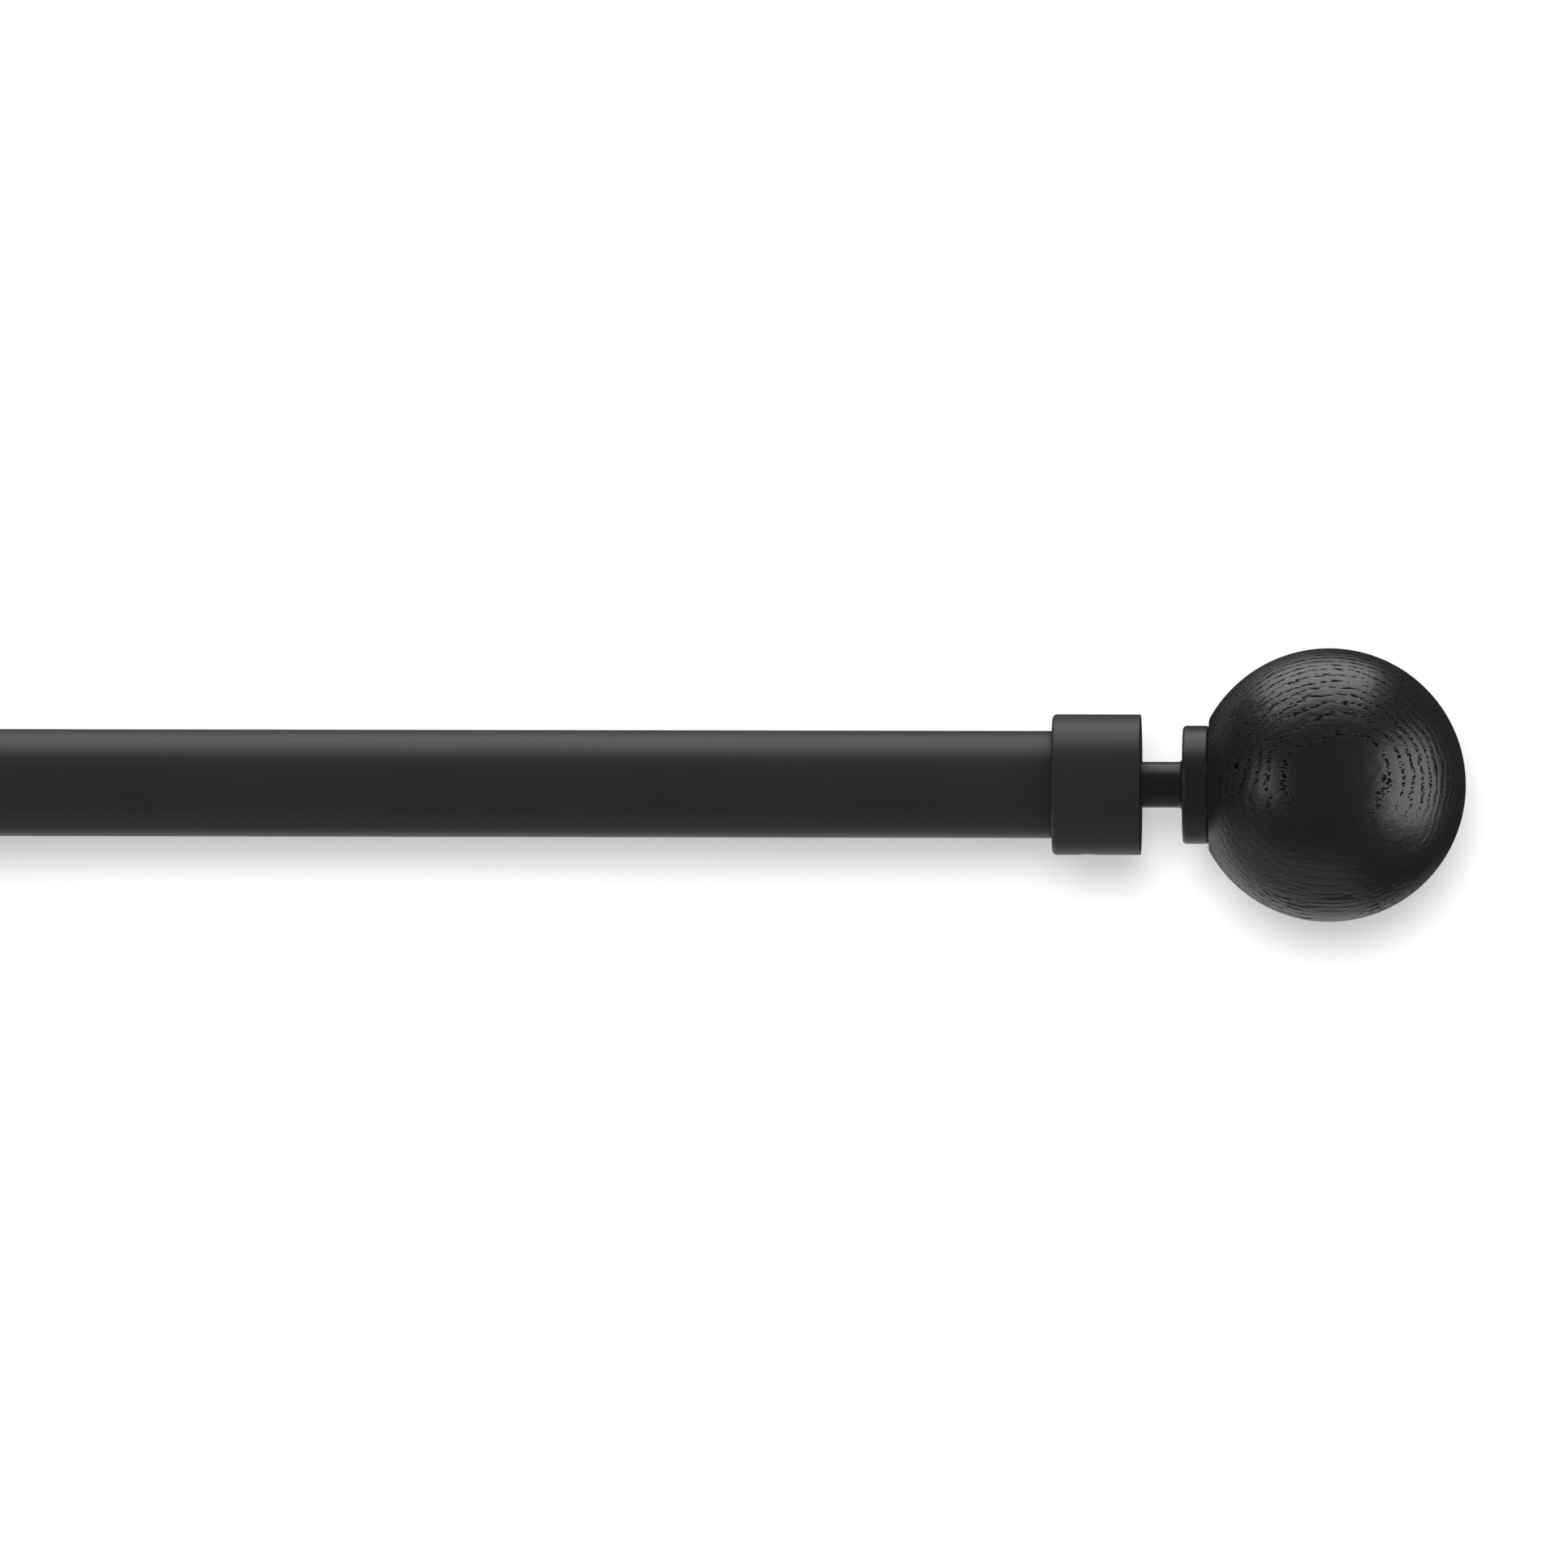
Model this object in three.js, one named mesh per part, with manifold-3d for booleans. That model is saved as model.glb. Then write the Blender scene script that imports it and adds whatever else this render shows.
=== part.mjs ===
import * as THREE from 'three';
import { mergeVertices } from 'three/addons/utils/BufferGeometryUtils.js';
import Module from 'manifold-3d';

const wasm = await Module();
wasm.setup();

// Millimetres. The origin is the middle of the right bracket's wall face.
// X runs along the rod to the right finial, Y into the wall, Z up.

// Rod: a fixed-length outer tube and an inner tube that telescopes out of its left end
const rodDiameter = 25.4;
const rodWall = 1.0;
const outerTubeLength = 914.4;
const innerTubeDiameter = 22.2;
const innerTubeWall = 0.9;
const innerTubeLength = 889.0;
const plugFlangeLength = 3.0;
const plugStemLength = 14.0;
const plugHollowDiameter = 15.0;

// Placing of the brackets and the rod's ends
const bracketSpacing = 406.4;
const projection = 88.9;
const endOverhang = 317.5;

// End cap
const capDiameter = 33.3;
const capLength = 20.9;
const capEndWall = 3.4;
const capRimRound = 1.0;
const capFaceChamfer = 0.25;
const sleeveShortfall = 0.5;

// Grub screw under the cap
const grubDiameter = 4.0;
const grubSetback = 8.5;
const grubSunk = 0.5;
const grubSocketAcrossCorners = 2.3;
const grubSocketDepth = 1.6;

// Finial: turned neck and disc, wood ball, hanger bolt
const neckDiameter = 10.85;
const neckLength = 10.0;
const neckFillet = 1.2;
const discDiameter = 28.0;
const discLength = 6.2;
const discRound = 0.9;
const ballDiameter = 64.8;
const ballFlatOffset = 28.4;
const ballHoleDepth = 20.0;
const boltDiameter = 6.0;
const boltInBall = 17.0;
const boltPointLength = 3.0;
const boltChamfer = 0.6;
const unscrewTravel = 8.0;

// Bracket: wall plate and arm
const plateDiameter = 57.2;
const plateThickness = 6.0;
const plateRound = 2.0;
const wallScrewSpacing = 38.0;
const armDiameter = 12.7;
const armSpigotDiameter = 8.0;
const armSpigotLength = 3.5;
const armFlangeDiameter = 20.6;
const armFlangeLength = 3.0;
const armFlangeCove = 2.0;

// Bracket: cup, liner and cup screw
const cupWidth = 20.0;
const cupWall = 3.0;
const cupEdge = 0.5;
const cupFrontHeight = 8.5;
const cupBackHeight = 16.0;
const linerThickness = 1.1;
const linerHalfAngle = 65;
const linerSideMargin = 1.0;
const backBossDiameter = 15.6;
const backBossLength = 2.0;
const frontBossDiameter = 9.4;
const frontBossLength = 3.0;
const cupScrewDiameter = 4.0;
const cupScrewLength = 16.0;
const cupScrewHeadDiameter = 7.6;
const cupScrewSunk = 0.3;
const cupScrewRoom = 1.5;

// Bracket: clamp screw
const studDiameter = 4.0;
const studTipChamfer = 0.5;
const studInKnob = 6.0;
const knobDiameter = 14.0;
const knobLength = 8.0;
const knobStandOff = 2.5;
const knobFlutes = 24;
const knobFluteDepth = 0.5;
const knobEdge = 0.6;

// Wall screws
const wallScrewDiameter = 4.2;
const wallScrewHeadDiameter = 8.0;
const wallScrewInWall = 28.0;
const wallScrewPoint = 5.0;
const screwHeadSunk = 0.15;
const recessWidth = 1.2;
const recessSpan = 4.4;
const recessDepth = 1.5;

// Clearances, all on the radius unless named otherwise
const slipFit = 0.15;
const threadFit = 0.15;
const guideFit = 0.2;
const restGap = 0.1;
const screwHoleFit = 0.3;

// Facets
const roundSegments = 40;
const ballSegments = 40;
const ballRings = 18;
const smallSegments = 16;
const edgeSteps = 3;
const cupSteps = 16;
const cutterOverrun = 1.0;

// Places that follow from the sizes above
const rodRadius = rodDiameter / 2;
const rodAxisY = -projection;
const capBoreRadius = rodRadius + slipFit;
const capRadius = capDiameter / 2;
const capSocketDepth = capLength - capEndWall;
const boltHoleRadius = boltDiameter / 2 + threadFit;
const ballRadius = ballDiameter / 2;
const cupInnerRadius = rodRadius + restGap + linerThickness + restGap;
const cupOuterRadius = cupInnerRadius + cupWall;
const armEnd = projection - cupOuterRadius - backBossLength;
const boltLength = unscrewTravel + neckLength + discLength + boltInBall;

const AlongX = new THREE.Vector3(1, 0, 0);
const AgainstX = new THREE.Vector3(-1, 0, 0);
const AlongY = new THREE.Vector3(0, 1, 0);
const AgainstY = new THREE.Vector3(0, -1, 0);
const Down = new THREE.Vector3(0, 0, -1);
const Flat = { extruded: new THREE.Matrix4().makeBasis(AlongY, new THREE.Vector3(0, 0, 1), AlongX) };

// A closed surface with shared corners, no empty triangles and outward faces
function closed(geometry) {
  geometry.deleteAttribute('normal');
  geometry.deleteAttribute('uv');
  const merged = mergeVertices(geometry, 1e-5);
  const corner = merged.index.array;
  const kept = [];
  for (let i = 0; i < corner.length; i += 3) {
    const [a, b, c] = [corner[i], corner[i + 1], corner[i + 2]];
    if (a !== b && b !== c && c !== a) kept.push(a, b, c);
  }
  const point = (i) => new THREE.Vector3().fromBufferAttribute(merged.attributes.position, i);
  let volume = 0;
  for (let i = 0; i < kept.length; i += 3) {
    const [a, b, c] = [point(kept[i]), point(kept[i + 1]), point(kept[i + 2])];
    volume += a.dot(b.cross(c));
  }
  if (volume < 0) kept.reverse();
  merged.setIndex(kept);
  return merged;
}

function asManifold(geometry) {
  return new wasm.Manifold(new wasm.Mesh({
    numProp: 3,
    vertProperties: new Float32Array(geometry.attributes.position.array),
    triVerts: new Uint32Array(geometry.index.array),
  }));
}

function asGeometry(manifold) {
  const mesh = manifold.getMesh();
  const geometry = new THREE.BufferGeometry();
  geometry.setAttribute('position', new THREE.BufferAttribute(new Float32Array(mesh.vertProperties), 3));
  geometry.setIndex(new THREE.BufferAttribute(new Uint32Array(mesh.triVerts), 1));
  return geometry;
}

function cut(base, ...cutters) {
  const left = cutters.reduce((solid, cutter) => solid.subtract(asManifold(cutter)), asManifold(base));
  return asGeometry(left);
}

function join(base, ...others) {
  return asGeometry(others.reduce((solid, other) => solid.add(asManifold(other)), asManifold(base)));
}

// Points on an arc in a profile, from one angle to another in degrees
function arc(centreA, centreB, radius, from, to, steps = edgeSteps) {
  return Array.from({ length: steps + 1 }, (_, i) => {
    const angle = THREE.MathUtils.degToRad(from + (to - from) * (i / steps));
    return [centreA + radius * Math.cos(angle), centreB + radius * Math.sin(angle)];
  });
}

// A turned solid: profile points are [distance along the axis, radius]
function turned(profile, axis, start, segments = roundSegments) {
  const points = profile.map(([along, radius]) => new THREE.Vector2(Math.max(radius, 0), along));
  const geometry = new THREE.LatheGeometry(points, segments);
  geometry.applyQuaternion(new THREE.Quaternion().setFromUnitVectors(AlongY, axis));
  geometry.translate(start.x, start.y, start.z);
  return closed(geometry);
}

function ring(innerRadius, outerRadius, from, to) {
  return [[from, innerRadius], [from, outerRadius], [to, outerRadius], [to, innerRadius], [from, innerRadius]];
}

function rod(radius, from, to) {
  return [[from, 0], [from, radius], [to, radius], [to, 0]];
}

// A flat outline of [depth, height] points given a width along the rod, centred on one place
function extruded(outline, width, edge, centre) {
  const shape = new THREE.Shape(outline.map(([a, b]) => new THREE.Vector2(a, b)));
  const geometry = new THREE.ExtrudeGeometry(shape, {
    depth: width - 2 * edge,
    bevelEnabled: edge > 0,
    bevelThickness: edge,
    bevelSize: edge,
    bevelOffset: -edge,
    bevelSegments: 1,
    curveSegments: 1,
  });
  geometry.translate(0, 0, edge - width / 2);
  geometry.applyMatrix4(Flat.extruded);
  geometry.translate(centre.x, centre.y, centre.z);
  return closed(geometry);
}

const group = new THREE.Group();
const Black = { color: 0x1c1b1c, roughness: 0.5, metalness: 0.4 };
const Steel = { color: 0xa9abad, roughness: 0.35, metalness: 1.0 };
const Wood = { color: 0x242122, roughness: 0.55, metalness: 0.0 };
const Plastic = { color: 0x2c2d2f, roughness: 0.6, metalness: 0.0 };
const Rubber = { color: 0x1f1f1f, roughness: 0.9, metalness: 0.0 };

function piece(name, geometry, finish) {
  const mesh = new THREE.Mesh(geometry, new THREE.MeshStandardMaterial(finish));
  mesh.geometry.computeVertexNormals();
  mesh.name = name;
  group.add(mesh);
}

const onRod = (x) => new THREE.Vector3(x, rodAxisY, 0);

// Outer tube, its right end at the bottom of the right cap's socket
const rightTubeEnd = endOverhang;
const outerTubeLeft = rightTubeEnd - outerTubeLength;
const outerTubeInnerRadius = rodRadius - rodWall;
piece('outer_tube', turned(ring(outerTubeInnerRadius, rodRadius, 0, outerTubeLength), AlongX,
  onRod(outerTubeLeft)), Black);

// Inner tube, its left end at the bottom of the left cap's socket
const leftTubeEnd = -bracketSpacing - endOverhang;
const innerTubeRadius = innerTubeDiameter / 2;
const innerTubeInnerRadius = innerTubeRadius - innerTubeWall;
piece('inner_tube', turned(ring(innerTubeInnerRadius, innerTubeRadius, 0, innerTubeLength), AlongX,
  onRod(leftTubeEnd)), Black);

// Guide plug: its flange centres the inner tube's hidden end in the outer tube
const plugStemRadius = innerTubeInnerRadius - slipFit;
const plugFlangeRadius = outerTubeInnerRadius - guideFit;
piece('inner_tube_guide_plug', turned([
  [-plugStemLength, plugHollowDiameter / 2],
  [-plugStemLength, plugStemRadius],
  [0, plugStemRadius],
  [0, plugFlangeRadius],
  [plugFlangeLength, plugFlangeRadius],
  [plugFlangeLength, plugHollowDiameter / 2],
  [-plugStemLength, plugHollowDiameter / 2],
], AlongX, onRod(leftTubeEnd + innerTubeLength)), Plastic);

// Everything at one end of the rod; the tube's end sits at the bottom of the cap's socket
function rodEnd(side, tubeEnd, outward, tubeRadius) {
  const rim = onRod(tubeEnd - outward.x * capSocketDepth);
  const grubX = rim.x + outward.x * grubSetback;
  const grubAt = (from) => new THREE.Vector3(grubX, rodAxisY, -from);
  const grubRadius = grubDiameter / 2;
  const grubHole = turned(rod(grubRadius + threadFit, 0, capRadius + cutterOverrun), Down, grubAt(0),
    smallSegments);

  const cap = turned([
    [0, capBoreRadius],
    [0, capRadius - capRimRound],
    ...arc(capRimRound, capRadius - capRimRound, capRimRound, 180, 90),
    [capLength - capFaceChamfer, capRadius],
    [capLength, capRadius - capFaceChamfer],
    [capLength, boltHoleRadius],
    [capSocketDepth, boltHoleRadius],
    [capSocketDepth, capBoreRadius],
    [0, capBoreRadius],
  ], outward, rim);
  piece(`${side}_cap`, cut(cap, grubHole), Black);

  const grubFrom = tubeRadius + restGap;
  const grubTo = capRadius - grubSunk;
  const grub = turned(rod(grubRadius, grubFrom, grubTo), Down, grubAt(0), smallSegments);
  const socket = turned(rod(grubSocketAcrossCorners / 2, grubTo - grubSocketDepth, grubTo + cutterOverrun),
    Down, grubAt(0), 6);
  piece(`${side}_cap_grub_screw`, cut(grub, socket), Steel);

  // Reducing sleeve where the tube is thinner than the cap's bore
  if (tubeRadius < rodRadius) {
    const sleeve = turned(ring(tubeRadius + slipFit, rodRadius, sleeveShortfall, capSocketDepth), outward, rim);
    piece(`${side}_reducing_sleeve`, cut(sleeve, turned(rod(grubRadius + screwHoleFit, 0,
      capRadius), Down, grubAt(0), smallSegments)), Plastic);
  }

  // Neck and disc, turned from one bar
  const neckRadius = neckDiameter / 2;
  const discRadius = discDiameter / 2;
  const discEnd = neckLength + discLength;
  piece(`${side}_finial_neck`, turned([
    [0, boltHoleRadius],
    [0, neckRadius],
    [neckLength - neckFillet, neckRadius],
    ...arc(neckLength - neckFillet, neckRadius + neckFillet, neckFillet, -90, 0),
    ...arc(neckLength + discRound, discRadius - discRound, discRound, 180, 90),
    ...arc(discEnd - discRound, discRadius - discRound, discRound, 90, 0),
    [discEnd, boltHoleRadius],
    [0, boltHoleRadius],
  ], outward, onRod(rim.x + outward.x * capLength)), Black);

  // Ball, flattened where it meets the disc and drilled for the bolt
  const flatAngle = THREE.MathUtils.radToDeg(Math.acos(-ballFlatOffset / ballRadius));
  const ballCentre = onRod(rim.x + outward.x * (capLength + discEnd + ballFlatOffset));
  piece(`${side}_finial_ball`, turned([
    [ballHoleDepth - ballFlatOffset, 0],
    [ballHoleDepth - ballFlatOffset, boltHoleRadius],
    [-ballFlatOffset, boltHoleRadius],
    ...arc(0, 0, ballRadius, flatAngle, 0, ballRings),
  ], outward, ballCentre, ballSegments), Wood);

  // Hanger bolt through the cap's end wall and the neck into the ball
  const boltRadius = boltDiameter / 2;
  piece(`${side}_finial_bolt`, turned([
    [0, 0],
    [0, boltRadius - boltChamfer],
    [boltChamfer, boltRadius],
    [boltLength - boltPointLength, boltRadius],
    [boltLength, boltChamfer],
    [boltLength, 0],
  ], outward, onRod(rim.x + outward.x * (capLength - unscrewTravel)), smallSegments), Steel);
}

rodEnd('right', rightTubeEnd, AlongX, rodRadius);
rodEnd('left', leftTubeEnd, AgainstX, innerTubeRadius);

// A countersunk screw's profile, from its head's face to its point
function countersunk(headRadius, shankRadius, length, pointLength) {
  const headDepth = headRadius - shankRadius;
  return [
    [0, 0],
    [0, headRadius],
    [headDepth, shankRadius],
    [length - pointLength, shankRadius],
    [length, shankRadius / 4],
    [length, 0],
  ];
}

// The hole for such a screw, open past its head's face and past the far side
function countersunkHole(headRadius, shankRadius, sunk, length) {
  const wide = headRadius + screwHoleFit;
  const narrow = shankRadius + screwHoleFit;
  return [[-sunk - cutterOverrun, 0], [-sunk - cutterOverrun, wide], [0, wide], [wide - narrow, narrow],
    [length, narrow], [length, 0]];
}

// Cross recess in a screw's head, whose face is normal to Y and looks along -Y
function crossRecess(face) {
  const depth = recessDepth + cutterOverrun;
  const bars = [[recessSpan, recessWidth], [recessWidth, recessSpan]].map(([wide, high]) => {
    const bar = new THREE.BoxGeometry(wide, depth, high);
    bar.translate(face.x, face.y + recessDepth - depth / 2, face.z);
    return closed(bar);
  });
  return join(...bars);
}

function bracket(side, x) {
  const atWall = (z = 0) => new THREE.Vector3(x, 0, z);
  const plateRadius = plateDiameter / 2;

  // Wall plate: the arm's socket is blind, so the back is whole but for the two screw holes
  const plate = turned([
    [0, 0],
    [0, plateRadius],
    ...arc(plateThickness - plateRound, plateRadius - plateRound, plateRound, 90, 0),
    [plateThickness, armSpigotDiameter / 2 + threadFit],
    [plateThickness - armSpigotLength, armSpigotDiameter / 2 + threadFit],
    [plateThickness - armSpigotLength, 0],
  ], AgainstY, atWall());
  const screwFace = -plateThickness + screwHeadSunk;
  const screwPlaces = { upper: wallScrewSpacing / 2, lower: -wallScrewSpacing / 2 };
  const screwRadius = wallScrewDiameter / 2;
  const screwHeadRadius = wallScrewHeadDiameter / 2;
  const screwHoles = Object.values(screwPlaces).map((z) => turned(
    countersunkHole(screwHeadRadius, screwRadius, screwHeadSunk, plateThickness + cutterOverrun),
    AlongY, new THREE.Vector3(x, screwFace, z), smallSegments));
  piece(`${side}_wall_plate`, cut(plate, ...screwHoles), Black);

  for (const [place, z] of Object.entries(screwPlaces)) {
    const face = new THREE.Vector3(x, screwFace, z);
    const screw = turned(countersunk(screwHeadRadius, screwRadius, wallScrewInWall + plateThickness,
      wallScrewPoint), AlongY, face, smallSegments);
    piece(`${side}_wall_screw_${place}`, cut(screw, crossRecess(face)), Steel);
  }

  // Arm: spigot in the plate, cove below the flange, tapped for the cup screw at its far end
  const armRadius = armDiameter / 2;
  const flangeRadius = armFlangeDiameter / 2;
  const flangeEnd = plateThickness + armFlangeLength;
  const tapRadius = cupScrewDiameter / 2 + threadFit;
  const cupFace = cupInnerRadius + cupScrewSunk;
  const tapDepth = cupFace + cupScrewLength + cupScrewRoom - (projection - armEnd);
  piece(`${side}_bracket_arm`, turned([
    [plateThickness - armSpigotLength + restGap, 0],
    [plateThickness - armSpigotLength + restGap, armSpigotDiameter / 2],
    [plateThickness, armSpigotDiameter / 2],
    [plateThickness, flangeRadius],
    [flangeEnd, flangeRadius],
    [flangeEnd, armRadius + armFlangeCove],
    ...arc(flangeEnd + armFlangeCove, armRadius + armFlangeCove, armFlangeCove, 180, 270),
    [armEnd, armRadius],
    [armEnd, tapRadius],
    [armEnd - tapDepth, tapRadius],
    [armEnd - tapDepth, 0],
  ], AgainstY, atWall()), Black);

  // Cup: an open-topped U with a low front wall, a tall back wall and two bosses
  const tipRadius = cupWall / 2;
  const tipCentre = (cupInnerRadius + cupOuterRadius) / 2;
  const outline = [
    ...arc(0, 0, cupInnerRadius, 180, 360, cupSteps),
    ...arc(tipCentre, cupBackHeight, tipRadius, 180, 0, edgeSteps * 2),
    ...arc(0, 0, cupOuterRadius, 0, -180, cupSteps),
    ...arc(-tipCentre, cupFrontHeight, tipRadius, 180, 0, edgeSteps * 2),
  ];
  const saddle = extruded(outline, cupWidth, cupEdge, onRod(x));
  const backBoss = turned(rod(backBossDiameter / 2, cupInnerRadius + cupWall / 2,
    cupOuterRadius + backBossLength), AlongY, onRod(x));
  const frontBoss = turned(rod(frontBossDiameter / 2, cupInnerRadius + cupWall / 2,
    cupOuterRadius + frontBossLength), AgainstY, onRod(x), smallSegments);
  const cupScrewFace = onRod(x).add(new THREE.Vector3(0, cupFace, 0));
  const cupScrewHole = turned(countersunkHole(cupScrewHeadDiameter / 2, cupScrewDiameter / 2, cupScrewSunk,
    cupScrewLength), AlongY, cupScrewFace, smallSegments);
  const studHole = turned(rod(studDiameter / 2 + threadFit, rodRadius,
    cupOuterRadius + frontBossLength + cutterOverrun), AgainstY, onRod(x), smallSegments);
  piece(`${side}_cup`, cut(join(saddle, backBoss, frontBoss), cupScrewHole, studHole), Black);

  const cupScrew = turned(countersunk(cupScrewHeadDiameter / 2, cupScrewDiameter / 2, cupScrewLength,
    studTipChamfer), AlongY, cupScrewFace, smallSegments);
  piece(`${side}_cup_screw`, cut(cupScrew, crossRecess(cupScrewFace)), Steel);

  // Liner: a rubber strip stuck in the bottom of the cup, under the rod
  const linerInner = rodRadius + restGap;
  const linerOuter = linerInner + linerThickness;
  piece(`${side}_cup_liner`, extruded([
    ...arc(0, 0, linerInner, 270 - linerHalfAngle, 270 + linerHalfAngle, cupSteps),
    ...arc(0, 0, linerOuter, 270 + linerHalfAngle, 270 - linerHalfAngle, cupSteps),
  ], cupWidth - 2 * linerSideMargin, 0, onRod(x)), Rubber);

  // Clamp screw: a threaded stud through the front wall, with a fluted knob on it
  const studRadius = studDiameter / 2;
  const studFrom = rodRadius + restGap;
  const knobFrom = cupOuterRadius + frontBossLength + knobStandOff;
  const studTo = knobFrom + studInKnob;
  piece(`${side}_clamp_stud`, turned([
    [studFrom, 0],
    [studFrom, studRadius - studTipChamfer],
    [studFrom + studTipChamfer, studRadius],
    [studTo, studRadius],
    [studTo, 0],
  ], AgainstY, onRod(x), smallSegments), Steel);

  const knobRadius = knobDiameter / 2;
  const fluteOutline = Array.from({ length: knobFlutes * 2 }, (_, i) => {
    const angle = (i / (knobFlutes * 2)) * 2 * Math.PI;
    const radius = i % 2 ? knobRadius - knobFluteDepth : knobRadius;
    return new THREE.Vector2(radius * Math.cos(angle), radius * Math.sin(angle));
  });
  const knob = new THREE.ExtrudeGeometry(new THREE.Shape(fluteOutline), {
    depth: knobLength - 2 * knobEdge,
    bevelEnabled: true,
    bevelThickness: knobEdge,
    bevelSize: knobEdge,
    bevelOffset: -knobEdge,
    bevelSegments: 1,
  });
  knob.translate(0, 0, knobFrom + knobEdge);
  knob.rotateX(Math.PI / 2);
  knob.translate(x, rodAxisY, 0);
  const knobHole = turned(rod(studRadius + threadFit, knobFrom - cutterOverrun, studTo + restGap),
    AgainstY, onRod(x), smallSegments);
  piece(`${side}_clamp_knob`, cut(closed(knob), knobHole), Black);
}

bracket('right', 0);
bracket('left', -bracketSpacing);

export default group;
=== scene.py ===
import math

import bmesh
import bpy
import numpy as np
from mathutils import Matrix, Vector


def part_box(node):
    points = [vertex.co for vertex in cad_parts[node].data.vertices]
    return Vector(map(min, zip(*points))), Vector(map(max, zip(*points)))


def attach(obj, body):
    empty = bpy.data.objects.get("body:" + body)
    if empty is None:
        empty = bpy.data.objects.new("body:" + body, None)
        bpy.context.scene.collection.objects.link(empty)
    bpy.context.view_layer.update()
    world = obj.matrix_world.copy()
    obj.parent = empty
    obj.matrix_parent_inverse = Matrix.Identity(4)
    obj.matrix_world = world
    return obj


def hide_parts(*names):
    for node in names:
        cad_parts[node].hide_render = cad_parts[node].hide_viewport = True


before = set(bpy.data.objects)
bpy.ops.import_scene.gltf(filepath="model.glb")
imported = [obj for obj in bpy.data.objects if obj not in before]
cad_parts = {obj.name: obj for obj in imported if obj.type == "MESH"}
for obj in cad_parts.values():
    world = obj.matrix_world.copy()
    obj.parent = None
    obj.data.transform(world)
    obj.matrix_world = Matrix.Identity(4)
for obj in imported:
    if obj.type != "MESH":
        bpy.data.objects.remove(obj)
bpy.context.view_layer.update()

# ----------------------------------------
# Outer tube
# One-inch steel tube with a satin black powder coat. Its right end is cut square and hidden in the
# cap; its left end is curled in a little so that the thinner tube slides through without rattling.
# ----------------------------------------
mm = 0.001


def wire(tree, kind, inputs=None, **settings):
    """Adds a node, sets it up, and links or sets its inputs by name or number."""
    node = tree.nodes.new(kind)
    for key, value in settings.items():
        setattr(node, key, value)
    for key, value in (inputs or {}).items():
        if isinstance(value, bpy.types.NodeSocket):
            tree.links.new(value, node.inputs[key])
        else:
            node.inputs[key].default_value = value
    return node


def figure(tree, operation, a, b=0.0, c=0.0):
    """A sum worked out by the node tree, as a socket."""
    return wire(tree, "ShaderNodeMath", {0: a, 1: b, 2: c}, operation=operation).outputs[0]


def fade(tree, value, low, high, out_low=0.0, out_high=1.0):
    """A smooth step from out_low to out_high as value goes from low to high."""
    spread = {"Value": value, "From Min": low, "From Max": high, "To Min": out_low, "To Max": out_high}
    return wire(tree, "ShaderNodeMapRange", spread, interpolation_type="SMOOTHSTEP").outputs["Result"]


def product(tree, first, *others):
    """Several values multiplied together."""
    for other in others:
        first = figure(tree, "MULTIPLY", first, other)
    return first


def speckle(tree, place, scale, detail=2.0, roughness=0.5):
    """Plain 3-D noise from 0 to 1."""
    inputs = {"Vector": place, "Scale": scale, "Detail": detail, "Roughness": roughness}
    return wire(tree, "ShaderNodeTexNoise", inputs).outputs["Fac"]


def blend(tree, amount, first, second):
    """One colour turning into another."""
    mix = wire(tree, "ShaderNodeMix", {"Factor": amount}, data_type="RGBA")
    for socket, colour in ((mix.inputs[6], first), (mix.inputs[7], second)):
        if isinstance(colour, bpy.types.NodeSocket):
            tree.links.new(colour, socket)
        else:
            socket.default_value = (*colour, 1.0)
    return mix.outputs[2]


def group(name, inputs, outputs):
    """An empty shader group with named sockets, what comes into it and what it gives out."""
    tree = bpy.data.node_groups.new(name, "ShaderNodeTree")
    for label, kind, way in [(*s, "INPUT") for s in inputs] + [(*s, "OUTPUT") for s in outputs]:
        tree.interface.new_socket(label, in_out=way, socket_type=kind)
    return tree, tree.nodes.new("NodeGroupInput").outputs, tree.nodes.new("NodeGroupOutput").inputs


FLOAT, VECTOR = "NodeSocketFloat", "NodeSocketVector"

# Powder coat: a low orange peel under a much finer grain, and slow patches in shade and sheen
powder, take, give = group("powder_texture", [("Vector", VECTOR)],
                           [("Height", FLOAT), ("Patch", FLOAT)])
peel_height, grain_height = 0.0025, 0.0006
peel = speckle(powder, take["Vector"], 700.0, 2.0)
grain = speckle(powder, take["Vector"], 3600.0, 2.0)
height = figure(powder, "ADD", product(powder, peel, peel_height), product(powder, grain, grain_height))
powder.links.new(height, give["Height"])
powder.links.new(speckle(powder, take["Vector"], 32.0, 3.0), give["Patch"])

# Rubbed edges: broken up by noise, from the wear that each mesh carries along its edges
rubbed, take, give = group("rubbed_edges", [("Vector", VECTOR), ("Amount", FLOAT)], [("Mask", FLOAT)])
carried = wire(rubbed, "ShaderNodeAttribute", attribute_name="wear").outputs["Fac"]
broken = fade(rubbed, speckle(rubbed, take["Vector"], 420.0, 3.0), 0.42, 0.68)
rubbed.links.new(product(rubbed, carried, broken, take["Amount"]), give["Mask"])

# Dust: thin, only on faces that look up
dust, take, give = group("settled_dust", [("Vector", VECTOR), ("Amount", FLOAT)], [("Mask", FLOAT)])
facing = wire(dust, "ShaderNodeSeparateXYZ", {0: wire(dust, "ShaderNodeNewGeometry").outputs["Normal"]})
specks = fade(dust, speckle(dust, take["Vector"], 2400.0, 2.0), 0.62, 0.74)
upward = fade(dust, facing.outputs["Z"], 0.3, 1.0)
dust.links.new(product(dust, specks, upward, take["Amount"]), give["Mask"])


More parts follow.
